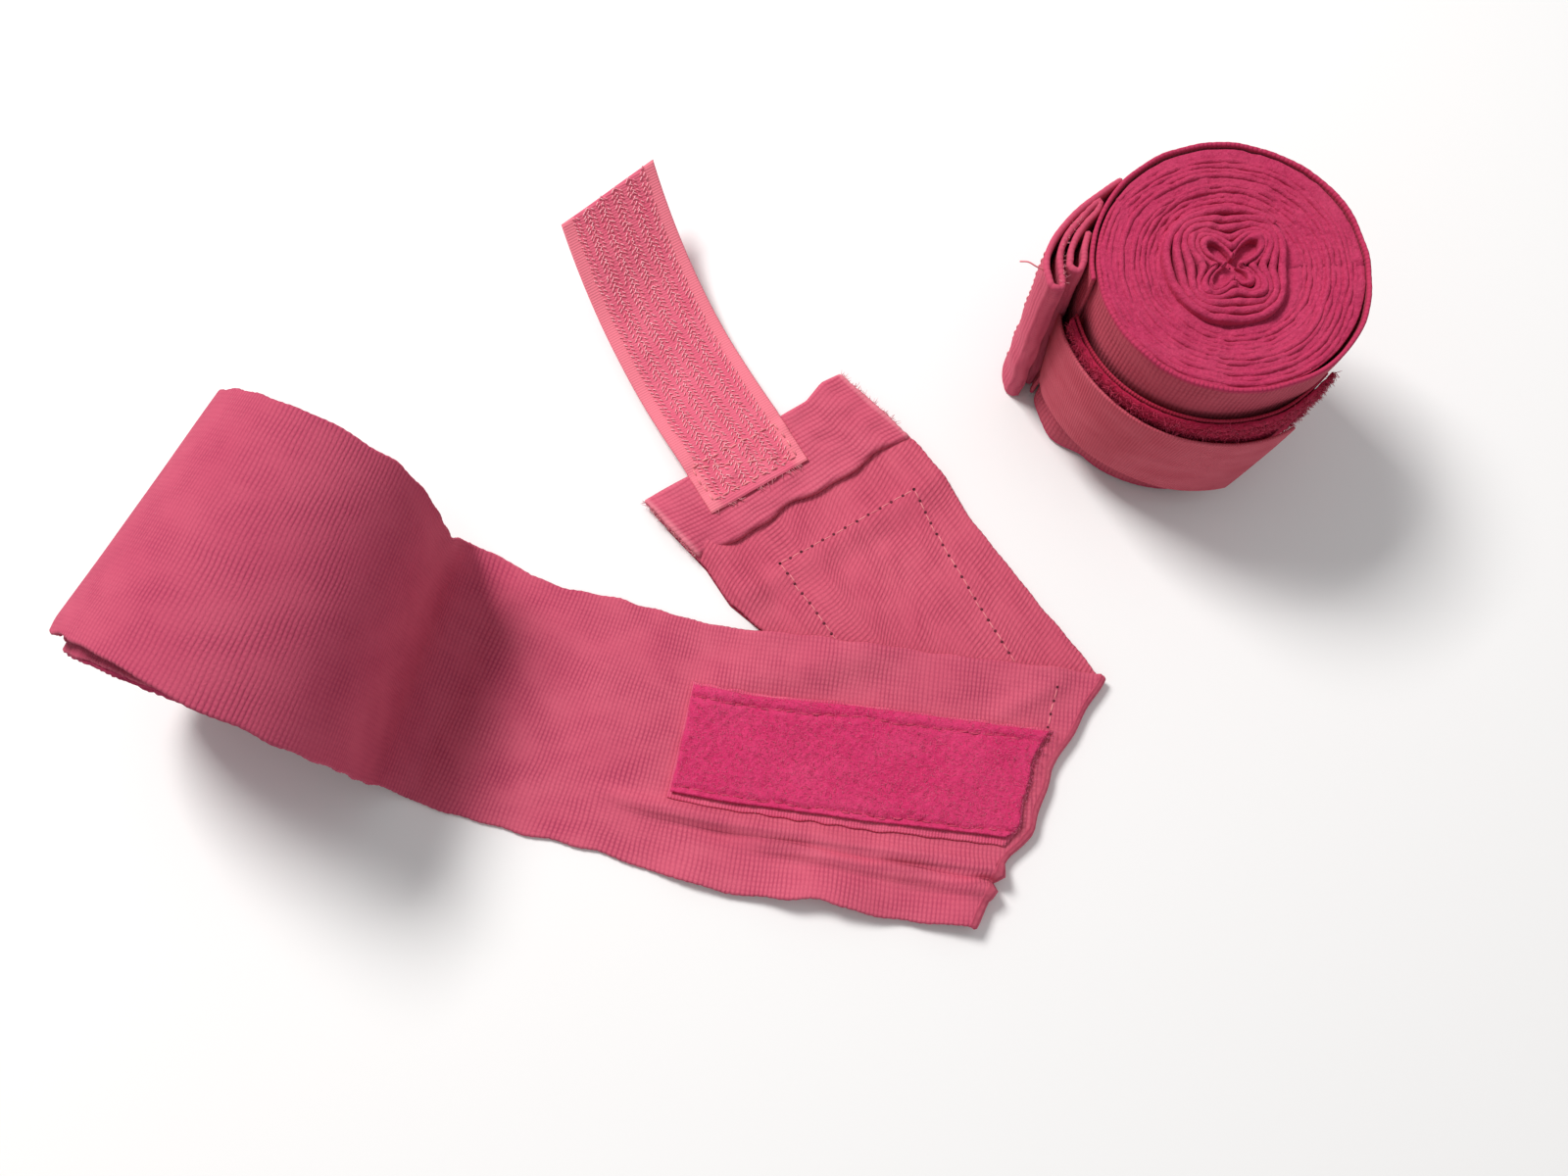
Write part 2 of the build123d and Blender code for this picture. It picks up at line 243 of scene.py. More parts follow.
def tubes(name, paths, reference, radius, sides, uv, material):
    """Many short tubes in one mesh: paths is (tubes, stations, 3) and radius one value per station."""
    count, stations = paths.shape[:2]
    tangent = np.gradient(paths, axis=1)
    tangent /= np.maximum(np.linalg.norm(tangent, axis=-1, keepdims=True), 1e-9)
    side = np.cross(tangent, reference[:, None, :])
    side /= np.maximum(np.linalg.norm(side, axis=-1, keepdims=True), 1e-9)
    other = np.cross(side, tangent)
    turn = np.arange(sides) * 2 * pi / sides
    size = np.broadcast_to(radius, (count, stations))[..., None, None]
    ring = side[:, :, None, :] * np.cos(turn)[:, None] + other[:, :, None, :] * np.sin(turn)[:, None]
    points = (paths[:, :, None, :] + ring * size).reshape(-1, 3)
    base = (np.arange(count) * stations * sides)[:, None, None]
    k = (np.arange(stations - 1) * sides)[None, :, None]
    m = np.arange(sides)[None, None, :]
    n = (m + 1) % sides
    corners = [base + k + m, base + k + sides + m, base + k + sides + n, base + k + n]
    quads = np.stack(corners, -1).reshape(-1, 4)
    ends = np.arange(sides)[None, :]
    first = base[:, :, 0] + ends
    last = base[:, :, 0] + (stations - 1) * sides + ends[:, ::-1]
    flat = np.repeat(uv, stations * sides, axis=0)
    return make_object(name, points, [quads, first, last], flat, material)


# ---------------------------------------------------------------- materials

class Finish:
    """A node material on a Principled shader, with short calls for the nodes it needs."""

    def __init__(self, name, **values):
        self.material = bpy.data.materials.new(name)
        self.material.use_nodes = True
        self.nodes, self.links = self.material.node_tree.nodes, self.material.node_tree.links
        self.shader = self.nodes["Principled BSDF"]
        for socket, value in values.items():
            self.shader.inputs[socket.replace("_", " ")].default_value = value
        place = self.node("ShaderNodeSeparateXYZ", {0: self.node("ShaderNodeUVMap").outputs[0]})
        self.u, self.v = place.outputs[0], place.outputs[1]

    def node(self, kind, inputs=None, **settings):
        made = self.nodes.new(kind)
        for key, value in settings.items():
            setattr(made, key, value)
        for key, value in (inputs or {}).items():
            if isinstance(value, bpy.types.NodeSocket):
                self.links.new(value, made.inputs[key])
            else:
                made.inputs[key].default_value = value
        return made

    def math(self, operation, a, b=0.0):
        return self.node("ShaderNodeMath", {0: a, 1: b}, operation=operation).outputs[0]

    def add(self, a, b):
        return self.math("ADD", a, b)

    def times(self, a, b):
        return self.math("MULTIPLY", a, b)

    def texture(self, place, scale, detail):
        return self.node("ShaderNodeTexNoise", {"Vector": place, "Scale": scale, "Detail": detail}).outputs[0]

    def noise(self, scale_u, scale_v, detail=2.0):
        """Noise over the flat cut, with cells of about the given lengths."""
        x, y = self.math("DIVIDE", self.u, scale_u), self.math("DIVIDE", self.v, scale_v)
        place = self.node("ShaderNodeCombineXYZ", {0: x, 1: y}).outputs[0]
        return self.texture(place, 1.0, detail)

    def wave(self, length, pitch):
        """Rounded ribs of the given pitch, from 0 to 1."""
        turned = self.times(length, 2 * pi / pitch)
        return self.add(self.times(self.math("SINE", turned), 0.5), 0.5)

    def remap(self, value, low, high, to_low, to_high):
        made = self.node("ShaderNodeMapRange", {0: value, 1: low, 2: high, 3: to_low, 4: to_high})
        return made.outputs[0]

    def blend(self, share, a, b):
        made = self.node("ShaderNodeMix", data_type="RGBA")
        for index, value in ((0, share), (6, a), (7, b)):
            if isinstance(value, bpy.types.NodeSocket):
                self.links.new(value, made.inputs[index])
            else:
                made.inputs[index].default_value = value if index == 0 else (*value, 1.0)
        return made.outputs[2]

    def colour(self, socket):
        self.links.new(socket, self.shader.inputs["Base Color"])

    def bump(self, height, distance):
        made = self.node("ShaderNodeBump", {"Height": height, "Strength": 1.0, "Distance": distance * MM})
        self.links.new(made.outputs[0], self.shader.inputs["Normal"])


CLOTH = {"Roughness": 0.92, "Sheen_Weight": 0.25, "Sheen_Roughness": 0.5, "Specular_IOR_Level": 0.2}


def waffle(f, along, across):
    """Relief of a waffle weave, worn down here and there."""
    drift = f.times(f.math("SUBTRACT", f.noise(9, 12, 3.0), 0.5), 1.3)
    rib = f.wave(f.add(f.u, drift), along)
    warp = f.wave(f.add(f.v, f.times(drift, 0.6)), across)
    worn = f.remap(f.noise(9, 6, 2.0), 0.35, 0.65, 0.45, 0.9)
    cell = f.math("POWER", f.times(rib, f.remap(warp, 0.0, 1.0, 0.35, 1.0)), 0.45)
    return f.math("SUBTRACT", 1.0, f.times(f.math("SUBTRACT", 1.0, cell), worn))


def woven(name, base, groove, light, along=1.0, across=0.85, depth=0.12, selvedge=None, painted_shade_span=None):
    """Elastic cotton in a waffle weave: raised cells between thin furrows both ways, with slubs and fading.

    The first colour is the cells', the next the furrows', and the last that of faded patches. along and
    across are the weave's pitches, and the last argument is the stretch along it, from and to, over which
    painted shade darkens it.
    """
    f = Finish(name, **CLOTH, Sheen_Tint=(*light, 1.0))
    cell = waffle(f, along, across)
    fibre = f.noise(0.32, 0.32, 3.0)
    height = f.add(cell, f.times(fibre, 0.8))
    shade = f.remap(f.add(cell, f.times(fibre, 0.5)), 0.45, 1.2, 0.0, 1.0)
    tone = f.blend(shade, groove, base)
    faded = f.remap(f.noise(17, 13, 3.0), 0.35, 0.7, 0.0, 0.45)
    tone = f.blend(faded, tone, f.blend(shade, base, light))
    slub = f.remap(f.noise(1.5, 0.55, 1.0), 0.74, 0.80, 0.0, 0.6)
    tone = f.blend(slub, tone, groove)
    # Painted shade: the cloth darkens towards its furrow colour over the given stretch along it.
    if painted_shade_span:
        tone = f.blend(f.remap(f.u, *painted_shade_span, 0.0, 0.42), tone, groove)
    if selvedge:
        rim = f.remap(f.math("ABSOLUTE", f.v), HALF - 1.0, HALF - 0.2, 0.0, 0.85)
        tone = f.blend(rim, tone, selvedge)
    f.colour(tone)
    f.bump(height, depth)
    return f.material


def ribbed(name, base, groove, light, along, across, depth=0.12, margin=None):
    """Fine woven tape with ribs both ways. margin is the colour of its plain edges."""
    f = Finish(name, **CLOTH, Sheen_Tint=(*light, 1.0))
    rib = f.times(f.wave(f.u, along), f.remap(f.wave(f.v, across), 0.0, 1.0, 0.55, 1.0))
    fibre = f.noise(0.3, 0.3, 2.0)
    tone = f.blend(f.remap(f.add(rib, f.times(fibre, 0.4)), 0.1, 1.1, 0.0, 1.0), groove, base)
    tone = f.blend(f.remap(f.noise(11, 5, 2.0), 0.35, 0.75, 0.0, 0.5), tone, light)
    if margin:
        tone = f.blend(f.remap(f.math("ABSOLUTE", f.v), 8.4, 9.8, 0.0, 0.85), tone, margin)
    f.colour(tone)
    f.bump(f.add(rib, f.times(fibre, 0.5)), depth)
    return f.material


def fuzzy(name, base, deep, light, cell=1.1, depth=0.5):
    """Brushed pile or felted selvedges: soft clumps of lighter fibres over a deep ground."""
    f = Finish(name, **{**CLOTH, "Sheen_Weight": 0.5}, Sheen_Tint=(*light, 1.0))
    place = f.node("ShaderNodeTexCoord").outputs["Object"]
    clump = f.texture(place, 1000 / cell, 4.0)
    fine = f.texture(place, 3300.0, 2.0)
    wide = f.texture(place, 120.0, 2.0)
    tone = f.blend(f.remap(clump, 0.3, 0.7, 0.0, 1.0), deep, base)
    tone = f.blend(f.remap(fine, 0.52, 0.75, 0.0, 0.6), tone, light)
    tone = f.blend(f.remap(wide, 0.4, 0.75, 0.0, 0.3), tone, light)
    f.colour(tone)
    f.bump(f.add(clump, f.times(fine, 0.5)), depth)
    return f.material


def filament(name, base, light, **values):
    """Thread, hook and fibre material that varies from one strand to the next."""
    f = Finish(name, **values)
    f.colour(f.blend(f.remap(f.noise(0.9, 0.9, 1.0), 0.35, 0.65, 0.0, 1.0), base, light))
    f.bump(f.noise(0.15, 0.15, 1.0), 0.03)
    return f.material


PINK, PINK_DEEP, PINK_LIGHT = (0.60, 0.098, 0.165), (0.37, 0.038, 0.095), (0.72, 0.155, 0.225)
CRIMSON = (0.48, 0.028, 0.10)
# Painted shade darkens the band from 75 mm to 150 mm from the fold, and fully beyond, over the ramp and the
# lying roll.
BAND_CLOTH = woven("band_cotton", PINK, PINK_DEEP, PINK_LIGHT, 0.85, 0.9, painted_shade_span=(75.0, 150.0))
BAND_BACK = woven("band_cotton_reverse", (0.60, 0.094, 0.16), (0.38, 0.042, 0.09), (0.72, 0.15, 0.215),
                  0.9, 1.5, 0.14)
# Darker copy of the band's cotton for the standing roll's outer turn: the darkening is painted shade on the
# roll's side, and the crimson selvedge is the cloth's own.
SHADED_ROLL_CLOTH = woven("rolled_cotton_shaded", (0.48, 0.070, 0.112), (0.31, 0.034, 0.062), (0.57, 0.115, 0.155),
                   0.95, 1.3, 0.14, CRIMSON)
EDGE_CLOTH = fuzzy("band_selvedges", (0.50, 0.036, 0.115), (0.37, 0.020, 0.075), (0.60, 0.075, 0.16),
                   0.8, 0.25)
HEM_CLOTH = woven("hem_cotton", (0.60, 0.10, 0.17), (0.40, 0.045, 0.095), (0.74, 0.17, 0.24),
                  selvedge=(0.7, 0.2, 0.26))
SECOND_HEM_CLOTH = woven("second_hem_cotton", (0.56, 0.088, 0.15), (0.40, 0.045, 0.095), (0.68, 0.15, 0.22),
                         selvedge=(0.55, 0.07, 0.14))
# Dark copy of the band's reverse, its darkness painted shade, for the tail's underside edge.
UNDER_CLOTH_SHADED = woven("shaded_reverse", (0.30, 0.020, 0.05), (0.18, 0.010, 0.03), (0.38, 0.04, 0.08))
PILE = fuzzy("loop_pile", (0.60, 0.030, 0.135), (0.53, 0.022, 0.11), (0.74, 0.085, 0.22), 0.7, 0.25)
# Darker pile and loop tape for the standing roll's patch.
PILE_DARK = fuzzy("loop_pile_dark", (0.42, 0.012, 0.055), (0.30, 0.006, 0.035), (0.52, 0.035, 0.10), 0.8, 0.3)
LOOP_TAPE = ribbed("loop_tape", (0.72, 0.10, 0.20), (0.50, 0.04, 0.11), (0.82, 0.19, 0.29), 0.6, 0.5)
LOOP_TAPE_DARK = ribbed("loop_tape_dark", (0.42, 0.022, 0.06), (0.30, 0.01, 0.035), (0.52, 0.05, 0.10),
                        0.6, 0.5)
HOOK_TAPE = ribbed("hook_tape", (0.72, 0.130, 0.215), (0.64, 0.098, 0.17), (0.80, 0.20, 0.28),
                   0.55, 0.45, 0.06, (0.82, 0.215, 0.275))
TAPE_BACK = ribbed("hook_tape_back", (0.57, 0.095, 0.14), (0.45, 0.058, 0.09), (0.66, 0.15, 0.20),
                   0.55, 0.5, 0.08)
LABEL = ribbed("blank_label", (0.80, 0.74, 0.72), (0.6, 0.52, 0.52), (0.88, 0.84, 0.82), 0.4, 0.3)
THREAD = filament("sewing_thread", (0.66, 0.13, 0.18), (0.84, 0.27, 0.30), Roughness=0.6, Sheen_Weight=0.3)
THREAD_DEEP = filament("sewing_thread_deep", (0.40, 0.018, 0.07), (0.56, 0.05, 0.13), Roughness=0.7)
# Near-black colour painted as the shade inside needle holes.
HOLE_SHADE = filament("needle_holes", (0.07, 0.008, 0.016), (0.13, 0.014, 0.03), Roughness=0.95)
HOOK = filament("nylon_hooks", (0.92, 0.32, 0.40), (0.99, 0.52, 0.58), Roughness=0.4, Specular_IOR_Level=0.6)
FIBRE = filament("pile_fibre", (0.65, 0.026, 0.15), (0.76, 0.07, 0.22), Roughness=0.8, Sheen_Weight=0.4)
FIBRE_DARK = filament("pile_fibre_dark", (0.42, 0.014, 0.06), (0.54, 0.035, 0.10), Roughness=0.8)
FRAY = filament("frayed_cotton", (0.62, 0.12, 0.19), (0.85, 0.33, 0.36), Roughness=0.9, Sheen_Weight=0.4)


def dress(piece, body, slot, *nodes):
    """Hangs a piece on its body and hides the CAD nodes that it stands for. slot is not used.

    A piece with no body is left unattached.
    """
    if body:
        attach(piece, body)
    if nodes:
        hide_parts(*nodes)
    return piece


def bend_between(pieces):
    """Bakes each piece's placement into its mesh."""
    for piece in pieces:
        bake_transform(piece)


# ---------------------------------------------------------------- the open wrap's layout

RUN_ANGLE = -7.5
FOLD = joint_place("fold_open")
FOLD_PLACE = FOLD * [1, 1, 0]
FOLD_ANGLE = angle_of(joints["fold_open"]["axis"])
TAIL_ANGLE = 2 * FOLD_ANGLE - RUN_ANGLE
ROLL = joint_place("roll_spin")
FREE_ANGLE = angle_of(joints["roll_travel"]["axis"])
PANEL_LENGTH = 76.0    # fold to the end of the patch panel
FOOT = 113.0           # fold to where the band starts to climb the roll
CURVE = 26.0           # the run bends gently this far each side of the panel's end
TURN_RADIUS = 28.0     # middle of the band as it goes over the roll
FILLET = 8.4           # radius in which the band turns up from the table
WRAP = 165.0           # degrees that it then follows the roll
FLOOR_MIDDLE = 0.7     # band middle where it lies on the table
TAIL_MIDDLE = 0.9
RUN_MIDDLE = 2.7       # band middle where the run lies on the tail
FOLD_SLOPE = 1 / np.tan(radians(FOLD_ANGLE - RUN_ANGLE))

stations = np.arange(-30, 150, 0.5)
turning = 180 + RUN_ANGLE + (FREE_ANGLE - RUN_ANGLE) * smooth((stations - PANEL_LENGTH + CURVE) / (2 * CURVE))
line = np.cumsum(heading(turning) * 0.5, axis=0)
line = line - line[np.argmin(abs(stations))] + FOLD_PLACE


def on_line(s):
    """Middle of the run in plan, and its heading away from the fold."""
    middle = np.stack([np.interp(s, stations, line[:, k]) for k in range(3)], -1)
    return middle, np.interp(s, stations, turning)


def arc(centre, radius, start, end, count=60):
    turn = np.radians(np.linspace(start, end, count))
    return np.stack([centre[0] + radius * np.cos(turn), centre[1] + radius * np.sin(turn)], -1)


foot_place, foot_heading = on_line(FOOT)
AHEAD = heading(FREE_ANGLE + 180)
SIDE = heading(FREE_ANGLE + 90)
roll_away = float((ROLL - foot_place) @ AHEAD)
climb = np.concatenate([
    [(0.0, FLOOR_MIDDLE)],
    arc((roll_away - TURN_RADIUS - FILLET, FLOOR_MIDDLE + FILLET), FILLET, -90, 0),
    arc((roll_away, ROLL[2]), TURN_RADIUS, 180, 180 - WRAP, 160)])
climb_length = np.concatenate([[0], np.cumsum(np.hypot(*np.diff(climb, axis=0).T))])
RAMP_END = FOOT + climb_length[-1]


def fold_reach(across):
    """Distance along the run, or the tail, at which the fold lies, for a place across it."""
    return -FOLD_SLOPE * across


# How far the fold stands out from its straight line, by the place across the run
FOLD_SLACK = ((-24, 0.3), (-17.5, -0.6), (-11.6, 0.3), (-6, 2.0), (1, 0.3), (5.5, -0.7), (10, -0.5),
              (17, -0.1), (25, 0.1))


def fold_bulge(w):
    """How far the fold is pushed out past its straight line by the patch and by slack."""
    return look_up(w, FOLD_SLACK) + 0.25 * np.sin(w / 1.7)


# The run's curled edges: place across, width, from, to, soft margin, height, wave's height, length and phase
RUN_CURLS = ((-27, 7.5, 16, 58, 14, 2.6, 1.5, 5.6, 0.9),
             (27, 7, 2, 52, 12, 0.9, 0.5, 8.0, 2.2))
# The run's long soft folds: start, end, height and width
RUN_RIDGES = (((66, -12.8), (6, -15.5), 2.6, 1.4), ((46, -16.4), (5, -19.2), 2.3, 1.1),
              ((58, -14.8), (8, -17.4), -0.9, 0.9), ((62, 14), (36, 23), 1.0, 4.0),
              ((8, 15), (-2, 22), 0.5, 2.0))


def run_height(s, w):
    """Height of the run's middle above the table."""
    tail_edge = 10.6 + 0.966 * (w + HALF)
    rest = FLOOR_MIDDLE + (RUN_MIDDLE - FLOOR_MIDDLE) * smooth((tail_edge + 14 - s) / 22)
    for edge, width, start, end, soft, height, wave, length, phase in RUN_CURLS:
        curl = bell(w - edge, width) * hump(s, start, end, soft)
        rest = rest + curl * (height + wave * np.sin(s / length + phase))
    for start, end, height, width in RUN_RIDGES:
        rest = rest + ridge(s, w, start, end, height, width)
    calm = smooth((FOOT - s) / 25)
    return rest + 0.16 * calm * (1 + ripple(s, w, 17, 3))


# How far each edge of the run strays outwards, by the distance from the fold
NEAR_STRAY = ((5, 0.3), (14, 1.3), (24, 1.6), (31, 1.2), (38, 0.0), (48, 0.6), (57, 1.0), (66, -0.4),
              (80, -1.9), (95, -0.4), (108, 1.2), (118, 1.0), (135, 1.6), (165, 1.4), (180, 0.8),
              (195, -1.4), (207, -2.2))
FAR_STRAY = ((60, 0.3), (70, 0.2), (78, 0.5), (87, 0.5), (96, -0.3), (104, -1.5), (112, -1.7), (119, -0.4),
             (125, -0.4), (136, -3.0), (150, -1.6), (165, 1.0), (180, 1.6))


def edge_stray(s, w):
    """How far the run's edges stray from half its width: it is pulled in where nothing is sewn on."""
    far, near = smooth((w - 12) / 13), smooth((-w - 12) / 13)
    return look_up(s, FAR_STRAY) * far - look_up(s, NEAR_STRAY) * near


def roll_squeeze(x, w):
    """The lying roll is slack and a little flat towards its far end: x is away from its axis."""
    left = 0.80 - 0.0042 * w - 0.03 * smooth((-w - 20) / 5)
    right = 1.0 - 0.0032 * w * smooth((39 + x) / 11)
    return np.where(x > 0, x * left, x * right)


def roll_height(z, w):
    return FLOOR_MIDDLE + (z - FLOOR_MIDDLE) * (1 - 0.0016 * (w + HALF))


def band_shape(s, w):
    """The band from the fold, along the run and over the roll: s from the fold, w towards its far edge."""
    w = w + edge_stray(s, w)
    middle, angle = on_line(np.minimum(s, FOOT))
    middle = middle + heading(angle - 90) * w[..., None] if np.ndim(w) else middle
    run = np.concatenate([middle[..., :2], run_height(s, w)[..., None]], -1)
    reach = np.maximum(s - FOOT, 0)
    forward = np.interp(reach, climb_length, climb[:, 0])
    height = np.interp(reach, climb_length, climb[:, 1])
    ahead = heading(foot_heading)
    loose = (1 + ripple(s, w, 30, 8)) * 0.12 * smooth(reach / 12) * smooth((RAMP_END - s) / 12)
    outward = np.stack([forward - roll_away, height - ROLL[2]], -1)
    outward /= np.maximum(np.linalg.norm(outward, axis=-1, keepdims=True), 1e-6)
    on_roll = smooth((reach - 30) / 10)
    forward = forward + outward[..., 0] * loose * on_roll
    height = height + outward[..., 1] * loose * on_roll
    base = foot_place + heading(foot_heading - 90) * w[..., None]
    away = roll_away + roll_squeeze(forward - roll_away, w)
    rise = base + ahead * away[..., None]
    rise = np.concatenate([rise[..., :2], roll_height(height, w)[..., None]], -1)
    return np.where((s > FOOT)[..., None], rise, run)


def tail_height(t, c):
    """Height of the tail's middle; c is across it, towards its near edge."""
    rest = TAIL_MIDDLE + 0.12 * (1 + ripple(t, c, 14, 5)) * smooth((t + FOLD_SLOPE * c) / 12)
    far = smooth((t - 56) / 12)
    rest = rest + far * 1.7 * bell(c - 21, 3.6)
    rest = rest + far * 0.9 * bell(c + 24, 4.5)
    pucker = ridge(t, c, (66, 16), (63, -22), 0.5, 2.4)
    rest = rest + pucker * (0.75 + 0.25 * np.sin(c * 1.1)) - ridge(t, c, (61, 14), (58, -18), 0.25, 2.5)
    return rest


# The tail's near edge off its middle line, by the distance along it; the hem's edge, by the place across
TAIL_NEAR_EDGE = ((20, 25.0), (34, 21.9), (46, 20.9), (58, 22.4), (67, 24.5), (76, 24.0), (95, 26.2))
HEM_OUTER_EDGE = ((-25, 93.6), (-20.5, 94.3), (-15, 92.8), (-8, 93.3), (15.3, 93.9), (25, 95.0))


def off_middle(t, c):
    """Moves a nominal place across the tail, from -25 to 25, to fit between its real edges."""
    far = 25.4 + 1.6 * bell(t - 66, 11) - 0.13 * np.maximum(t - 77, 0)
    return np.where(c > 0, c * look_up(t, TAIL_NEAR_EDGE) / HALF, c * far / HALF)


def on_tail(t, c, height):
    """Point over the tail for a distance along it, a place across it and a height."""
    place = FOLD_PLACE + heading(TAIL_ANGLE) * t[..., None] + heading(TAIL_ANGLE + 90) * c[..., None]
    return place + UP * height[..., None]


def hem_edges(c):
    """Where the hem's outer and inner edges lie along the tail."""
    outer = look_up(c, HEM_OUTER_EDGE)
    inner = 76.2 + 0.085 * c + 0.55 * np.sin(c / 3.4 + 0.8) + 0.3 * np.sin(c / 1.6)
    return outer, inner


def tail_shape(t, c):
    """The tail from the fold: t along it and c across it, nominally from -25 to 25."""
    across = off_middle(t, c)
    curl = smooth((across - 22.8) / 3.2) * smooth((t - 54) / 10)
    return on_tail(t, across, tail_height(t, across) * (1 - curl) + 0.5 * curl)


TURN_SPAN = 4.0        # length of band in the turn at the fold


def tail_and_turn(p, c):
    """The tail, and for negative p the turn at the fold that carries it up into the run."""
    w = -c
    start = fold_reach(c) - fold_bulge(w)
    flat = tail_shape(np.maximum(p, 0) + start, c)
    top = band_shape(fold_reach(w) - fold_bulge(w), w)
    turned = pi * np.clip(-p / TURN_SPAN, 0, 1)
    bottom = tail_shape(start, c)
    share = ((1 - np.cos(turned)) / 2)[..., None]
    radius = (top[..., 2] - bottom[..., 2]) / 2
    out = heading(FOLD_ANGLE - 90) * (radius * np.sin(turned))[..., None]
    curve = bottom * (1 - share) + top * share + out
    return np.where((p < 0)[..., None], curve, flat)


def scallop(length, seed):
    """Small bumps along a selvedge."""
    return 0.14 * np.abs(np.sin(pi * length / 1.7)) + 0.22 * ripple(length, 0 * length, 9, seed)


def spread(start, end, step):
    return np.linspace(start, end, max(2, int(round(abs(end - start) / step)) + 1))


def held(values, margin=0.02):
    """The same stations with one more just inside each end, so that the next stretch's shading carries on."""
    low, high = values[:1], values[-1:]
    side = margin * np.sign(high - low)
    return np.concatenate([low, low + side, values[1:-1], high - side, high])


def columns(edge=HALF, step=1.0, rim=(0.0, 0.3, 0.9), clear=1.6):
    """Places across a band or a tape, closer together near its edges."""
    rim = np.array(rim)
    inside = spread(-edge + clear, edge - clear, step)
    return np.concatenate([-edge + rim, inside, (edge - rim)[::-1]])


TAPE_COLUMNS = (TAPE / 2, 0.9, (0.0, 0.3), 1.0)


def selvedged(u, v, seed):
    """The same places with gently scalloped selvedges."""
    return v + np.sign(v) * bell(HALF - abs(v), 1.2) * scallop(u, seed)


# ---------------------------------------------------------------- camera, light and floor

scene = bpy.context.scene
scene.view_settings.view_transform = "Standard"
CAMERA_PLACE = (13.71, -78.96, 264.0)
CAMERA_TILT = 15.39
camera = bpy.data.objects.new("camera", bpy.data.cameras.new("camera"))
camera.location = [value * MM for value in CAMERA_PLACE]
camera.rotation_euler = (radians(CAMERA_TILT), 0, 0)
camera.data.sensor_width = 36.0
camera.data.lens = 30.6
camera.data.clip_start = 0.01
scene.collection.objects.link(camera)
scene.camera = camera


def area_light(name, place, target, size, power, colour):
    light = bpy.data.lights.new(name, "AREA")
    light.size, light.energy, light.color = size, power, colour
    obj = bpy.data.objects.new(name, light)
    obj.location = place
    toward = np.array(target) - np.array(place)
    tilt = np.arccos(-toward[2] / np.linalg.norm(toward))
    obj.rotation_euler = (tilt, 0, atan2(toward[1], toward[0]) + pi / 2 + pi)
    scene.collection.objects.link(obj)


area_light("key", (-0.40, 0.44, 0.78), (0, 0, 0), 0.30, 9.4, (1.0, 0.98, 0.96))
area_light("fill", (0.35, 0.10, 0.95), (0, 0, 0), 0.9, 1.0, (0.96, 0.97, 1.0))
world = bpy.data.worlds.new("studio")
scene.world = world
world.use_nodes = True
world.node_tree.nodes["Background"].inputs[0].default_value = (1.0, 1.0, 1.0, 1.0)
world.node_tree.nodes["Background"].inputs[1].default_value = 0.38

floor_finish = Finish("pale_table", Roughness=0.8, Specular_IOR_Level=0.2)
floor_finish.colour(floor_finish.blend(floor_finish.noise(300, 300), (0.86, 0.86, 0.86), (0.90, 0.90, 0.90)))
FLOOR = 1500.0         # half its width
square = np.array([(-1, -1, 0), (1, -1, 0), (1, 1, 0), (-1, 1, 0)]) * FLOOR
floor = make_object("table_top", square, [np.array([[0, 1, 2, 3]])], square[:, :2] + FLOOR,
                    floor_finish.material)


def above(shape, lift):
    """The surface that stands a distance off another along its normal; lift is a number or a function."""
    def lifted(u, v):
        points, normal = surface_frame(shape, u, v)
        distance = lift(u, v) if callable(lift) else lift
        return points + normal * np.asarray(distance)[..., None]
    return lifted


def polyline(points):
    """Smoothed path through points: its function of arc length, and its length."""
    points = np.asarray(points, float)
    gaps = np.linalg.norm(np.diff(points, axis=0), axis=1)
    along = np.concatenate([[0], np.cumsum(gaps)])
    fine = np.linspace(0, along[-1], 40 * len(points))
    tangent = np.gradient(points, along, axis=0)
    k = np.clip(np.searchsorted(along, fine, side="right") - 1, 0, len(gaps) - 1)
    t = (fine - along[k]) / gaps[k]
    h = gaps[k][:, None]
    t = t[:, None]
    curve = ((2 * t ** 3 - 3 * t ** 2 + 1) * points[k] + (t ** 3 - 2 * t ** 2 + t) * h * tangent[k]
             + (3 * t ** 2 - 2 * t ** 3) * points[k + 1] + (t ** 3 - t ** 2) * h * tangent[k + 1])
    length = np.concatenate([[0], np.cumsum(np.linalg.norm(np.diff(curve, axis=0), axis=1))])

    def at(s):
        return np.stack([np.interp(s, length, axis) for axis in curve.T], -1)

    return at, length[-1]


STITCH = 2.6           # usual distance from one stitch to the next
STITCH_SHARE = 0.62    # how much of that is thread
STITCH_JITTER = 0.12


def seam_line(start, end, pitch):
    """A seam's start, its end, and the number of stitches in it."""
    start, end = np.array(start, float), np.array(end, float)
    return start, end, max(2, int(round(np.hypot(*(end - start)) / pitch)))


def row_of_stitches(shape, start, end, pitch, seed):
    """Stations of small arched stitches along a straight line on a cloth."""
    rng = np.random.default_rng(seed)
    start, end, count = seam_line(start, end, pitch)
    step = (end - start) / count
    k = np.linspace(-0.5, 0.5, 6)
    middle = start + step * (np.arange(count)[:, None] + 0.5) + rng.normal(0, STITCH_JITTER, (count, 2))
    place = middle[:, None, :] + step * STITCH_SHARE * k[:, None]
    points, normal = surface_frame(shape, place[..., 0], place[..., 1])
    return points, normal, 1 - (2 * k) ** 2


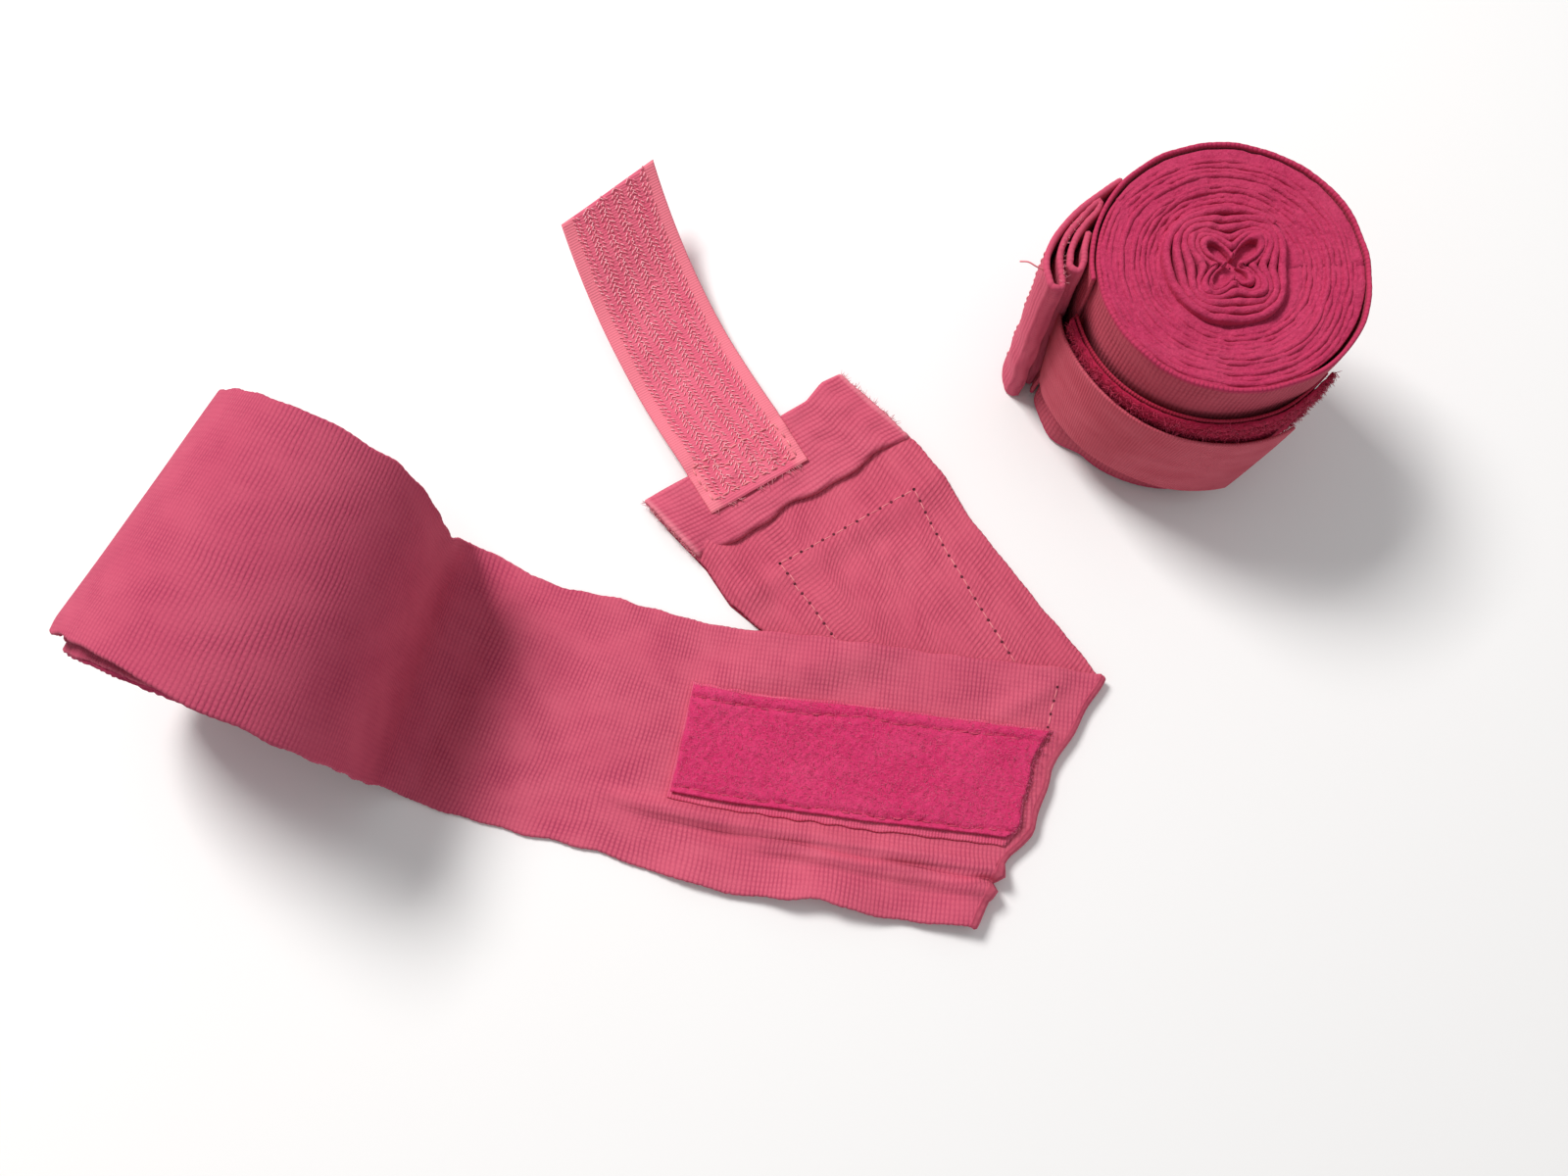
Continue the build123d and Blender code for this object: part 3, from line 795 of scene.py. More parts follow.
def stitches(name, shape, lines, nodes=(), body="tail", side=1, arch=0.2, sink=0.1, radius=0.2, pitch=STITCH,
             finish=THREAD):
    """Thread stitches along straight lines on a cloth, arched out of it on one side."""
    paths, marks = [], []
    for number, (start, end) in enumerate(lines):
        points, normal, rise = row_of_stitches(shape, start, end, pitch, number)
        paths.append(points + normal * side * (rise * arch - sink)[None, :, None])
        marks.append(normal[:, 0] * side)
    paths, marks = np.concatenate(paths), np.concatenate(marks)
    flat = np.stack([np.arange(len(paths)) * 1.3, np.zeros(len(paths))], -1)
    return dress(tubes(name, paths, marks, radius, 6, flat, finish), body, "thread", *nodes)


def needle_holes(name, shape, lines, body="tail", side=1, lift=0.0, radius=0.34):
    """Dimples where the needle went in: low rounded dots between the stitches, dark with painted shade."""
    spots, ups = [], []
    for start, end in lines:
        start, end, count = seam_line(start, end, STITCH)
        place = start + (end - start) * (np.arange(count + 1) / count)[:, None]
        points, normal = surface_frame(shape, place[:, 0], place[:, 1])
        spots.append(points + normal * side * lift)
        ups.append(normal * side)
    spots, ups = np.concatenate(spots), np.concatenate(ups)
    k = np.linspace(-1, 1, 4)
    paths = spots[:, None, :] + ups[:, None, :] * 0.06 * k[:, None]
    sideways = np.cross(ups, np.roll(ups, 1, axis=1) + [0.3, 0.2, 0.1])
    size = radius * np.array([0.5, 1.0, 0.85, 0.3])
    flat = np.stack([np.arange(len(paths)) * 1.7, np.ones(len(paths))], -1)
    return dress(tubes(name, paths, sideways, size, 7, flat, HOLE_SHADE), body, "thread")


def fibres(name, shape, u, v, side, length, radius, finish, body, slot, seed, lean, curl,
           lift=0.0, along=0.0):
    """Loose curly fibres standing on a cloth at the given places, drawn towards a direction."""
    rng = np.random.default_rng(seed)
    points, normal = surface_frame(shape, u, v)
    count = len(points)
    noise = rng.normal(0, 1, (count, 3))
    aim = normal * side + noise * lean / 2 + along
    aim /= np.linalg.norm(aim, axis=1, keepdims=True)
    bend = np.cross(aim, rng.normal(0, 1, (count, 3)))
    bend /= np.linalg.norm(bend, axis=1, keepdims=True)
    k = np.linspace(0, 1, 4)
    size = length * rng.uniform(0.6, 1.3, count)[:, None, None]
    path = (points + normal * side * lift)[:, None, :] + size * (
        aim[:, None, :] * k[:, None] + curl * bend[:, None, :] * (k ** 2)[:, None])
    flat = np.stack([u * 1.1, v * 1.1], -1)
    taper = radius * np.array([1, 0.9, 0.75, 0.45])
    return dress(tubes(name, path, bend + aim * 0.1, taper, 3, flat, finish), body, slot)


# ---------------------------------------------------------------- open wrap: band

across = columns()


def panel_line():
    """Where the panel ends: square to the roll's travel, so that the free stretch closes up evenly."""
    middle = band_shape(np.array(PANEL_LENGTH), np.array(0.0))
    s = PANEL_LENGTH + 0 * across
    for _ in range(8):
        s = s - (band_shape(s, across) - middle) @ AHEAD
    return s


def run_piece(name, start, end, thin=0.0):
    """Stretch of the run between two rows of distances from the fold. Its end is thinned over a distance."""
    count = max(8, int(np.mean(end - start) / 0.7))
    share = held(np.linspace(0, 1, count), 0.0005)[:, None]
    u = start + (end - start) * share
    v = selvedged(u, across + 0 * u, 1)
    thickness = THICK * (0.4 + 0.6 * smooth((end - u) / thin)) if thin else THICK
    return cloth(name, band_shape, u, v, thickness, BAND_CLOTH)


fold_line, foot_line = fold_reach(across) - fold_bulge(across), FOOT + 0 * across
panel = dress(run_piece("run_cloth", fold_line, panel_line()), "run", "band", "patch_panel")
free = dress(run_piece("free_cloth", panel_line(), foot_line), "run", "band", "free_run")
ramp = dress(run_piece("ramp_cloth", foot_line, RAMP_END + 0 * across, 3.0), "roll_lead", "band", "band_ramp")

tail_end = hem_edges(across)[0] - 3.0 - fold_reach(across) + fold_bulge(-across)
tail_p = held(np.linspace(1, 0, 140), 0.0002)[:, None] * tail_end
tail = cloth("tail_cloth", tail_and_turn, tail_p, selvedged(tail_p, across + 0 * tail_p, 2), THICK, BAND_BACK)
dress(tail, "tail", "band", "tail_band")
turn_p = held(np.linspace(0, -TURN_SPAN, 26))[:, None] + 0 * across
fold_turn = cloth("fold_turn_cloth", tail_and_turn, turn_p, selvedged(turn_p, across + 0 * turn_p, 2), THICK,
                  BAND_BACK)
dress(fold_turn, None, "band", "fold_turn")

# ---------------------------------------------------------------- open wrap: hem, label and stitches

HEM_LIFT = 2.55        # middle of the hem's upper layer
HEM_START = 3.0        # it begins this far short of the tail's end
HEM_TURN = 2.6         # length of the turn at the tail's end
HEM_TUCK = 1.3         # length of the small turn at its inner edge
HEM_TUCKED = 2.9       # length of the end that is tucked in
HEM_TUCK_RADIUS = 0.42


def hem_shape(q, c):
    """The band's end folded back over the tail and turned under: q runs round its section."""
    outer, inner = hem_edges(c)
    low = TAIL_MIDDLE + 0.12 * (1 + ripple(outer, c, 14, 5))
    puff = 0.16 * ripple(q, c, 8, 21) + 0.35 * bell(c - 19, 4) + 0.1 * bell(c + 19, 5)
    high = HEM_LIFT + puff
    big, small = (high - low) / 2, HEM_TUCK_RADIUS
    top = outer - inner - big - small
    turn = HEM_START - big
    on, over, back, under, tucked = passed(q, turn, HEM_TURN, top, HEM_TUCK, HEM_TUCKED)
    over, under = over * pi, under * pi
    t = outer - HEM_START + on * turn + big * np.sin(over) - back * top - small * np.sin(under) + tucked * 2.6
    z = low + big * (1 - np.cos(over)) - small * (1 - np.cos(under)) - tucked * 0.1
    open_end = 0.9 * smooth((c - 17) / 8) * smooth(back * 3) * smooth((1 - back) * 4)
    return on_tail(t, off_middle(t, c), z + open_end)


hem_c = columns(step=0.9)
hem_q = np.concatenate([spread(0, 6.5, 0.35), spread(6.9, 19.5, 0.6), spread(19.8, 25.5, 0.3)])
q, c = grid(hem_q, hem_c)
hem = cloth("hem_cloth", hem_shape, q, selvedged(q, c, 5), THICK, HEM_CLOTH)
dress(hem, "tail", "band", "tail_hem")

LABEL_TURN = radians(7.0)
LABEL_PLACE = (65.8, -3.4)    # the seam's far end, along the tail and across it
SEAM_LENGTH, SEAM_SIDE = 52.0, 15.5


def on_label(a, b):
    """Place on the tail for a distance from the label's far end and a distance off its middle line."""
    onward, aside = cos(LABEL_TURN), sin(LABEL_TURN)
    return LABEL_PLACE[0] - a * onward - b * aside, LABEL_PLACE[1] + a * aside - b * onward


def label_shape(a, b):
    return on_tail(*on_label(a, b), 0.24 + 0.03 * ripple(a, b, 11, 9))


a, b = grid(spread(-1, 53, 1.0), spread(-16.5, 16.5, 1.0))
label = dress(cloth("label_cloth", label_shape, a, b, 0.3, LABEL), "tail", "label", "tail_label")

near, far = ([on_label(a, side * SEAM_SIDE) for a in (0.0, SEAM_LENGTH)] for side in (1, -1))
label_lines = [near, (near[0], far[0]), far]
tail_top = above(tail_shape, THICK / 2)
stitches("label_threads", tail_top, label_lines, ["label_stitching"], arch=0.12, sink=0.09, radius=0.12)
needle_holes("label_holes", tail_top, label_lines, lift=0.03)
# The tail's underside edge as a strip flat on the table under its near edge, dark with painted shade.
under = cloth("tail_under_edge", lambda t, c: tail_shape(t, c) * [1, 1, 0] + UP * 0.32,
              *grid(spread(20, 88, 1.5), spread(22.0, 25.5, 0.7)), 0.35, UNDER_CLOTH_SHADED)
dress(under, "tail", "band")

hem_top = above(hem_shape, THICK / 2)
hem_lines = [((19.3, -24.0), (19.6, -9.5)), ((19.6, 17.5), (19.8, 24.0))]
stitches("hem_threads", hem_top, hem_lines, ["hem_stitching"], sink=0.16)
needle_holes("hem_holes", hem_top, hem_lines, radius=0.4)

# ---------------------------------------------------------------- open wrap: hook strip

STRIP_HINGE = joint_place("hook_strip_flex")
STRIP_ANGLE = angle_of(joints["hook_strip_flex"]["axis"]) + 88.3
STRIP_ROOT = 13.0
STRIP_FLAT = 14.0
STRIP_RADIUS = 75.0    # how gently it curls up past its flat stretch
STRIP_END = STRIP_FLAT + STRIP_RADIUS * radians(34.0)
STRIP_SWAY = (6.4, -2.5)      # sideways stray by its tip: what grows with the square, and evenly
FINE = 0.25            # step in which a tape's line is added up


def bent(x, tilt):
    """Forward and upward reach of a line from x = 0, for its tilts at the evenly spaced lengths x."""
    forward, rise = np.cumsum(np.cos(tilt)) * FINE, np.cumsum(np.sin(tilt)) * FINE
    return forward - np.interp(0, x, forward), rise - np.interp(0, x, rise)


strip_x = np.arange(-STRIP_ROOT - 2, 70, FINE)
strip_bend = np.where((strip_x >= STRIP_FLAT) & (strip_x < STRIP_END), 1 / STRIP_RADIUS, 0.0)
strip_bend = np.convolve(strip_bend, np.ones(25) / 25, mode="same")
strip_forward, strip_rise = bent(strip_x, np.cumsum(strip_bend) * FINE)


def strip_shape(x, y):
    """The open hook strip: x from its hinge towards its tip, y towards its right edge."""
    forward = np.interp(x, strip_x, strip_forward)
    height = STRIP_HINGE[2] - TAPE_THICK / 2 + np.interp(x, strip_x, strip_rise)
    root = smooth((1 - x) / 4)
    height = height + root * (0.22 * ripple(x, y, 7, 31) + 0.18 * np.sin(y * 1.3) * smooth((x + 12) / 5))
    height = height + (1 - root) * 0.25 * ripple(x, y, 26, 32)
    out = np.maximum(x, 0) / STRIP_END
    y = y * (0.97 - 0.005 * out) - 0.3 * out + STRIP_SWAY[0] * out ** 2 + STRIP_SWAY[1] * out
    place = STRIP_HINGE * [1, 1, 0] + heading(STRIP_ANGLE) * forward[..., None]
    return place + heading(STRIP_ANGLE - 90) * y[..., None] + UP * height[..., None]


x = np.concatenate([spread(-STRIP_ROOT, 4.5, 0.5), spread(5.0, STRIP_END, 0.8)])
x, y = grid(x, columns(*TAPE_COLUMNS))
x = x + 1.6 * smooth((x - STRIP_END + 9) / 9) * y / TAPE * 2
strip = cloth("hook_strip_cloth", strip_shape, x, y, TAPE_THICK, HOOK_TAPE)
dress(strip, None, "hook_tape", "hook_strip_tape", "hook_strip_root")

HOOK_PITCH = (0.98, 0.92)     # along and across a tape
HOOK_STEP = 0.55              # how far one column is set on from the next
HOOK_FIELD = 17.5             # width of a hook field
HOOK_RADIUS = 0.105
# Along a hook from its root: its height as a share, and how far it leans over in millimetres
HOOK_BEND = ((0.0, 0.0), (0.55, 0.05), (0.92, 0.28), (1.0, 0.60), (0.72, 0.82))


def hook_places(start, end, slant, rng):
    """Zigzag places of the hooks on a tape and the way each leans. slant follows the tape's skewed tip."""
    u, v = grid(np.arange(start, end, HOOK_PITCH[0]),
                np.arange(-HOOK_FIELD / 2, HOOK_FIELD / 2, HOOK_PITCH[1]))
    number = np.arange(v.shape[1])
    way = np.where((number // 2) % 2, 1.0, -1.0)[None, :] + 0 * v
    u = u + HOOK_STEP * (number % 2)[None, :] * way + rng.normal(0, 0.15, u.shape)
    v = v + rng.normal(0, 0.13, v.shape)
    u = u + slant * smooth((u - end + 9) / 9) * v
    return u.ravel(), v.ravel(), way.ravel()[:, None]


def hook_field(name, shape, start, end, node, seed, height, slant=0.0):
    """Rows of small nylon hooks on the underside of a tape's shape."""
    u, v, way = hook_places(start, end, slant, np.random.default_rng(seed))
    points, normal = surface_frame(shape, u, v)
    sideways = (surface_frame(shape, u, v + 0.5)[0] - points) / 0.5
    onward = (surface_frame(shape, u + 0.5, v)[0] - points) / 0.5
    aim = (sideways * way + onward * 0.9) / 1.35
    rise, reach = np.transpose(HOOK_BEND)
    paths = points[:, None, :] + normal[:, None, :] * -1 * (height * rise)[:, None]
    paths = paths + aim[:, None, :] * reach[:, None]
    flat = np.stack([u * 1.9, v * 1.9], -1)
    made = tubes(name, paths, np.cross(normal, aim), HOOK_RADIUS, 4, flat, HOOK)
    return dress(made, None, "hooks", node)


strip_face = above(strip_shape, -TAPE_THICK / 2)
open_hooks = hook_field("hook_strip_hooks_field", strip_face, -11.0, STRIP_END - 0.8, "hook_strip_hooks", 41,
                        0.24, 0.136)
bend_between((strip, open_hooks))

strip_lines = [((-2.2, -10.6), (-2.6, 10.6)), ((-10.8, -10.4), (-11.2, 10.4)),
               ((-2.4, -10.3), (-11.0, -10.3)), ((-2.6, 10.3), (-11.0, 10.3)), ((-3.0, -9.0), (-10.5, 9.0))]
stitches("strip_threads", strip_face, strip_lines, ["strip_stitching"], side=-1, arch=0.32, pitch=2.3)

# ---------------------------------------------------------------- open wrap: loop patch

PATCH_MIDDLE = 1.2     # its middle line, across the run
PATCH_END = 70.4       # its far end, from the fold


def patch_grid(inset, step_s, step_w):
    """Places on the patch, whose end by the fold is cut along it."""
    w = columns(TAPE / 2 - inset, step_w, (0.0, 0.25), 0.9)[None, :] + PATCH_MIDDLE
    share = np.linspace(0, 1, int(66 / step_s))[:, None]
    first = fold_reach(w) - fold_bulge(w) + 1.2 + 0.08 * (w + 12) + inset
    s = first + (PATCH_END - inset - first) * share
    return s, w + 0 * s


s, w = patch_grid(0, 0.8, 0.9)
off = w - PATCH_MIDDLE
w = w + np.sign(off) * bell(TAPE / 2 - abs(off), 1.5) * 0.25 * ripple(s, w, 6, 55)
backing = cloth("loop_patch_tape", above(band_shape, -(THICK / 2 + 0.3)), s, w, 0.5, LOOP_TAPE)
dress(backing, "run", "loop_tape", "loop_patch_backing")

SEAM = TAPE / 2 - 2.6


def pile_height(s, w):
    """Half-height of the pile: lumpy, pressed down along its two seams and at its edges."""
    off = w - PATCH_MIDDLE
    seam = sum(bell(off - at - 0.25 * ripple(s, 0 * s, 12, 61), 0.55) for at in (-SEAM, SEAM))
    edge = smooth((TAPE / 2 - abs(off)) / 1.4)
    lump = 0.14 * ripple(s, w, 3.2, 62, 12) + 0.09 * ripple(s, w, 1.3, 63, 12)
    return (0.85 + lump) * (0.35 + 0.65 * edge) - 0.45 * seam


pile_shape = above(band_shape, lambda s, w: -(THICK / 2 + 0.45 + pile_height(s, w)))

s, w = patch_grid(0.5, 0.42, 0.42)
w = np.where(w < PATCH_MIDDLE - SEAM, PATCH_MIDDLE - SEAM + (w - PATCH_MIDDLE + SEAM) * 0.45, w)
pile = cloth("loop_patch_fleece", pile_shape, s, w, 0.7, PILE)
dress(pile, "run", "loop_pile", "loop_patch_pile")

PATCH_FIBRES = 8500
rng = np.random.default_rng(70)
w = PATCH_MIDDLE + rng.uniform(-SEAM - 0.6, TAPE / 2 - 0.2, PATCH_FIBRES)
s = rng.uniform(0, 1, PATCH_FIBRES)
s = (fold_reach(w) - fold_bulge(w) + 1.4) * (1 - s) + (PATCH_END - 0.8) * s
fibres("loop_patch_fibres", pile_shape, s, w, -1, 0.5, 0.045, FIBRE, "run", "loop_pile", 71, 1.5, 0.9, 0.28)
patch_lines = [((68.8, PATCH_MIDDLE + SEAM), (3.5, PATCH_MIDDLE + SEAM)),
               ((68.8, PATCH_MIDDLE - SEAM), (6.5, PATCH_MIDDLE - SEAM))]
stitches("loop_patch_threads", pile_shape, patch_lines, ["loop_patch_stitching"], "run", side=-1, sink=-0.25,
         finish=THREAD_DEEP)

run_top = above(band_shape, -THICK / 2)
fold_lines = [((-2.4, 21.5), (-1.4, 13.6))]
stitches("fold_threads", run_top, fold_lines, (), "run", side=-1, arch=0.12, sink=0.09, radius=0.12)
needle_holes("fold_holes", run_top, fold_lines, "run", side=-1, lift=0.02, radius=0.3)

# ---------------------------------------------------------------- lying roll

ROLL_PITCH = 1.1       # from one turn to the next
CORE_START = 12.4      # radius inside which a roll's turns go into folds
END_COLUMNS = np.array([-25, -24.7, -24.2, -23, -12, 0, 12, 23, 24.2, 24.7, 25])
CORE_OUTER, CORE_PITCH = 11.6, 1.45


def core_path(turned):
    """Radius and thickness of a roll's heart: doubled band folded in four lobes, wound round from outside."""
    base = CORE_OUTER - CORE_PITCH * turned / 360
    angle = np.radians(turned)
    lobes = 0.55 * np.exp(-np.maximum(base - 4.3, 0) / 2.7) * smooth((CORE_OUTER + 0.5 - base) / 2)
    wave = np.cos(4 * angle) + 0.22 * np.cos(3 * angle + 1.0) + 0.20 * np.cos(2 * angle - 1.0)
    egg = 0.05 * np.cos(angle - 2.3) + 0.035 * np.cos(3 * angle)
    radius = base * (1 + lobes * wave + egg)
    slope = abs(lobes * 4 * np.sin(4 * angle)) / (1 + lobes * wave)
    return radius, np.clip(1.05 * CORE_PITCH / np.sqrt(1 + slope ** 2), 0.6, 0.94 * CORE_PITCH)


CORE_TURN = 360.0 * (CORE_OUTER - 3.1) / CORE_PITCH
TUCK = 1.05            # the wound turns lie this far inside the band that leads up to them
SPIN = 74.0            # the roll turns this many degrees as it travels


def lead_radius(angle, w):
    """How far the band that goes over the roll is from its axis."""
    x = roll_squeeze(-TURN_RADIUS * np.cos(angle), w)
    return np.hypot(x, roll_height(ROLL[2] + TURN_RADIUS * np.sin(angle), w) - ROLL[2])


def slack(angle, w):
    """The share of its radius that a wound turn keeps, to stay inside the lead all through the travel."""
    place = (np.degrees(angle) + 100) % 360 - 100
    here = lead_radius(angle, w)
    share = np.ones_like(here)
    for ahead in np.linspace(0, SPIN, 13):
        ratio = lead_radius(angle + radians(ahead), w) / here
        share = np.where(place + ahead <= WRAP + 2, np.minimum(share, ratio), share)
    return 1 - (1.015 - share) * smooth((place + 96) / 24) * smooth((WRAP + 4 - place) / 10)


def on_roll(radius, angle, w):
    """Point of the lying roll for a radius, an angle up from the run's side, and a place across."""
    radius = radius * slack(angle, w)
    x = roll_squeeze(-radius * np.cos(angle), w)
    z = roll_height(ROLL[2] + radius * np.sin(angle), w)
    return ROLL * [1, 1, 0] + AHEAD * x[..., None] + UP * z[..., None] + SIDE * w[..., None]


def rolled_shape(turned, w):
    """The lying roll: turned is the angle in degrees inwards from where the ramp ends, w across the band."""
    angle = np.radians(WRAP + turned)
    radius = TURN_RADIUS - TUCK - ROLL_PITCH * turned / 360
    radius = radius + 0.12 * (ripple(turned / 9, w, 19, 81) - 1) * smooth(turned / 60)
    low = (0.5 - 0.5 * np.sin(angle + 0.25)) ** 2
    shift = (2.4 * low - 0.4 + 0.5 * ripple(turned / 60, 0 * turned, 9, 82)) * smooth((turned + 8) / 45)
    led = edge_stray(RAMP_END + 0 * turned, w) * (1 - smooth(turned / 50))
    led = led + 1.2 * smooth(-w / 20) * smooth(turned / -8)
    return on_roll(radius, angle, w + shift + led)


def rolled_core_shape(turned, w):
    return on_roll(core_path(turned)[0], np.radians(turned), w + 0.8)


def roll_piece(name, shape, turned, across, thickness, material, body, node, seed, lead=0.0):
    """Stretch of a roll over evenly spaced angles.

    lead is how much band comes before it.
    """
    u, v = grid(held(turned), across)
    thick = thickness(u) if callable(thickness) else thickness
    uv = np.stack([lead + u * 0.48, v], -1)
    made = cloth(name, shape, u, selvedged(u * 0.42, v, seed), thick, material, uv=uv)
    dress(made, body, "band", node)


def core_thickness(turned):
    return core_path(turned)[1]


TURN_END = 360.0 * (TURN_RADIUS - TUCK - CORE_START) / ROLL_PITCH

OUTER_END = 390        # the lying roll's outer turn ends here, in degrees
roll_piece("rolled_cloth_outer", rolled_shape, spread(-6, OUTER_END, 1.6), across, THICK, BAND_CLOTH,
           "roll", "rolled_band", 84, RAMP_END)
roll_piece("rolled_cloth_inner", rolled_shape, spread(OUTER_END, TURN_END, 3.0), END_COLUMNS, 0.92,
           EDGE_CLOTH, "roll", "rolled_band", 85)
roll_piece("rolled_core", rolled_core_shape, spread(0, CORE_TURN, 2.5), END_COLUMNS, core_thickness,
           EDGE_CLOTH, "roll", "core_folds", 86)

# ---------------------------------------------------------------- standing roll

HEM_ANGLE = 186.0
PEEL_RADIUS = 28.2     # of the hinge line, from the roll's axis
SECOND = joint_place("closed_strip_peel") * [1, 1, 0] - heading(HEM_ANGLE) * PEEL_RADIUS
OUTER = 24.8           # middle of the band's outermost turn
SECOND_PITCH = 1.0     # from one turn to the next
SECOND_TURN_END = 360.0 * (OUTER - CORE_START) / SECOND_PITCH


def around(angle, radius, height):
    """Point of the standing roll at an angle, radius and height."""
    return SECOND + heading(angle) * radius[..., None] + UP * height[..., None]


def angle_hump(angle, low, high, soft):
    return hump((angle + 90) % 360 - 90, low, high, soft)


def on_edge(v):
    """Height of the standing band for a place across it: its rounded lower edge just clears the table."""
    return HALF + 0.4 + v * 0.976


def end_rise(radius):
    """How far the standing roll's end stands above its edge height, by the plain radius."""
    return 0.8 * smooth((12.0 - radius) / 0.6) - 0.6 * smooth((18 - radius) / 4)


def second_radius(turned):
    """Plain radius of the standing roll's spiral, with the gap inside its loose outer turn."""
    angle = HEM_ANGLE - turned
    gap = 0.15 + 0.95 * angle_hump(angle, -20, 120, 35)
    fade = smooth((turned - 250) / 110), smooth((3300 - turned) / 600)
    return OUTER - SECOND_PITCH * turned / 360 - gap * fade[0] * fade[1]


def second_shape(turned, v):
    """The standing roll: turned is the angle inwards from the band's end, v up from its middle height."""
    angle = HEM_ANGLE - turned
    base = second_radius(turned)
    radius = base + 0.10 * ripple(turned / 8, v, 15, 91) * smooth(base / 10)
    raised = end_rise(base) + 0.5 * bell(base - 24.4, 0.5)
    x, y = radius * np.cos(np.radians(angle)), radius * np.sin(np.radians(angle))
    uneven = 0.22 * ripple(turned / 50, 0 * turned, 9, 93)
    lift = smooth(v / HALF) * (raised + uneven + 0.2 * ripple(x, y, 9, 94))
    out = 0.35 * smooth((HALF - 3 - abs(v)) / 20) * smooth((300 - turned) / 60)
    out = out - 0.6 * angle_hump(angle, -50, -28, 22) * smooth((v + 12) / 25) * smooth((400 - turned) / 60)
    flare = 0.2 + 2.9 * angle_hump(angle, 192, 206, 20)
    flare = flare * smooth((-v - 6) / 18) * smooth((372 - turned) / 16)
    return around(angle, radius - out + flare, on_edge(v) + lift)


def second_core_shape(turned, v):
    radius, _ = core_path(turned)
    base = CORE_OUTER - CORE_PITCH * turned / 360
    fold = 0.35 * np.sin(turned / 23) + 0.3 * ripple(turned / 40, 0 * turned, 9, 92)
    lift = smooth(v / HALF) * (0.75 + fold * smooth((9 - base) / 4) - 0.5 * smooth((4.5 - base) / 2))
    return around(turned + 45.0, radius, on_edge(v) + lift)


def felt_shape(angle, radius):
    """Matted fibres that fill the furrows between the turns, just below their edges."""
    x, y = radius * np.cos(np.radians(angle)), radius * np.sin(np.radians(angle))
    height = BAND - 0.22 - 0.95 * smooth((12.3 - radius) / 0.5)
    height = height + end_rise(radius) * smooth((radius - 12) / 0.5)
    height = height + 0.25 * ripple(x, y, 9, 94) + 0.12 * ripple(x, y, 2.5, 112)
    return around(angle, radius, height)


SECOND_OUTER_END = 400
# The standing roll's outer turn is dressed in the darker cotton, whose darkening is painted shade.
roll_piece("second_cloth_outer", second_shape, spread(0, SECOND_OUTER_END, 1.6), across, THICK, SHADED_ROLL_CLOTH,
           "second_wrap", "second_rolled_band", 95)
roll_piece("second_cloth_inner", second_shape, spread(SECOND_OUTER_END, SECOND_TURN_END, 2.5), END_COLUMNS,
           1.0, EDGE_CLOTH, "second_wrap", "second_rolled_band", 96)
roll_piece("second_core", second_core_shape, spread(0, CORE_TURN, 2.0), END_COLUMNS, core_thickness,
           EDGE_CLOTH, "second_wrap", "second_core_folds", 97)

felt = cloth("second_felt", felt_shape, *grid(spread(0, 360, 4), spread(0.3, 23.6, 0.6)), 0.4, EDGE_CLOTH)
dress(felt, "second_wrap", "band")

# The folded hem in plan: angle round the roll, radius, and how much it leans out towards its foot
SECOND_HEM = (
    (136, 25.6, 0.0), (146, 26.7, 0.1), (154, 28.3, 0.3), (162, 30.2, 0.5), (170, 31.9, 0.7),
    (177, 32.9, 0.9), (183, 32.8, 1.0), (187, 31.9, 1.0), (187.5, 31.0, 0.9), (185, 30.4, 0.8),
    (181, 30.4, 0.7), (175, 30.5, 0.6), (168, 29.8, 0.5), (160, 28.2, 0.3), (152, 26.9, 0.2),
    (149.5, 26.3, 0.1), (152, 25.9, 0.1), (160, 26.9, 0.2), (168, 28.1, 0.4), (176, 28.7, 0.5),
    (180.5, 28.4, 0.5), (181.5, 27.4, 0.4), (179, 26.6, 0.3), (172, 26.3, 0.2), (164, 26.0, 0.1))
second_hem_path, second_hem_length = polyline(SECOND_HEM)
SECOND_HEM_GRID = 80.0
SECOND_HEM_THICK = 1.15


def second_hem_shape(q, v):
    """The turned-back end of the standing wrap's band, leaning out towards its foot."""
    share = q / SECOND_HEM_GRID
    place = second_hem_path(share * second_hem_length)
    down = np.clip((HALF - v) / BAND, 0, 1)
    angle = place[..., 0] - 2.0 * down * place[..., 2]
    radius = place[..., 1] - 0.7 * place[..., 2] * down ** 1.3 + 0.2 * ripple(0 * q, v, 12, 98)
    height = HALF + 0.3 + v * 0.97 - 0.4 * place[..., 2] + 0.3 * smooth(v / HALF) * np.sin(q / 3.5)
    return around(angle, radius, height)


q, v = grid(spread(0, SECOND_HEM_GRID, 0.5), columns(step=1.2))
hem = cloth("second_hem_cloth", second_hem_shape, q, selvedged(q, v, 99), SECOND_HEM_THICK, SECOND_HEM_CLOTH)
dress(hem, "second_wrap", "band", "second_hem")
stitches("second_hem_threads", above(second_hem_shape, SECOND_HEM_THICK / 2), [((21.0, -23.5), (21.0, 23.5))],
         ["second_hem_stitching"], "second_wrap", radius=0.16)

# ---------------------------------------------------------------- standing roll: loop patch and closed strip

SECOND_PATCH = (188.0, 26.8)  # the angle at which it starts, and its middle height there
PATCH_RADIUS = 25.65
PATCH_BEND = 26.0             # the radius on which its length is measured round the roll


def second_patch_shape(s, w):
    """The loop patch round the standing roll: s from the hem, w up. Its far end lies closer to the roll."""
    angle = SECOND_PATCH[0] + np.degrees(s / PATCH_BEND)
    radius = PATCH_RADIUS - 0.55 * smooth((s - 46) / 10)
    return around(angle, radius, SECOND_PATCH[1] + 0.022 * (angle - 190) + w)


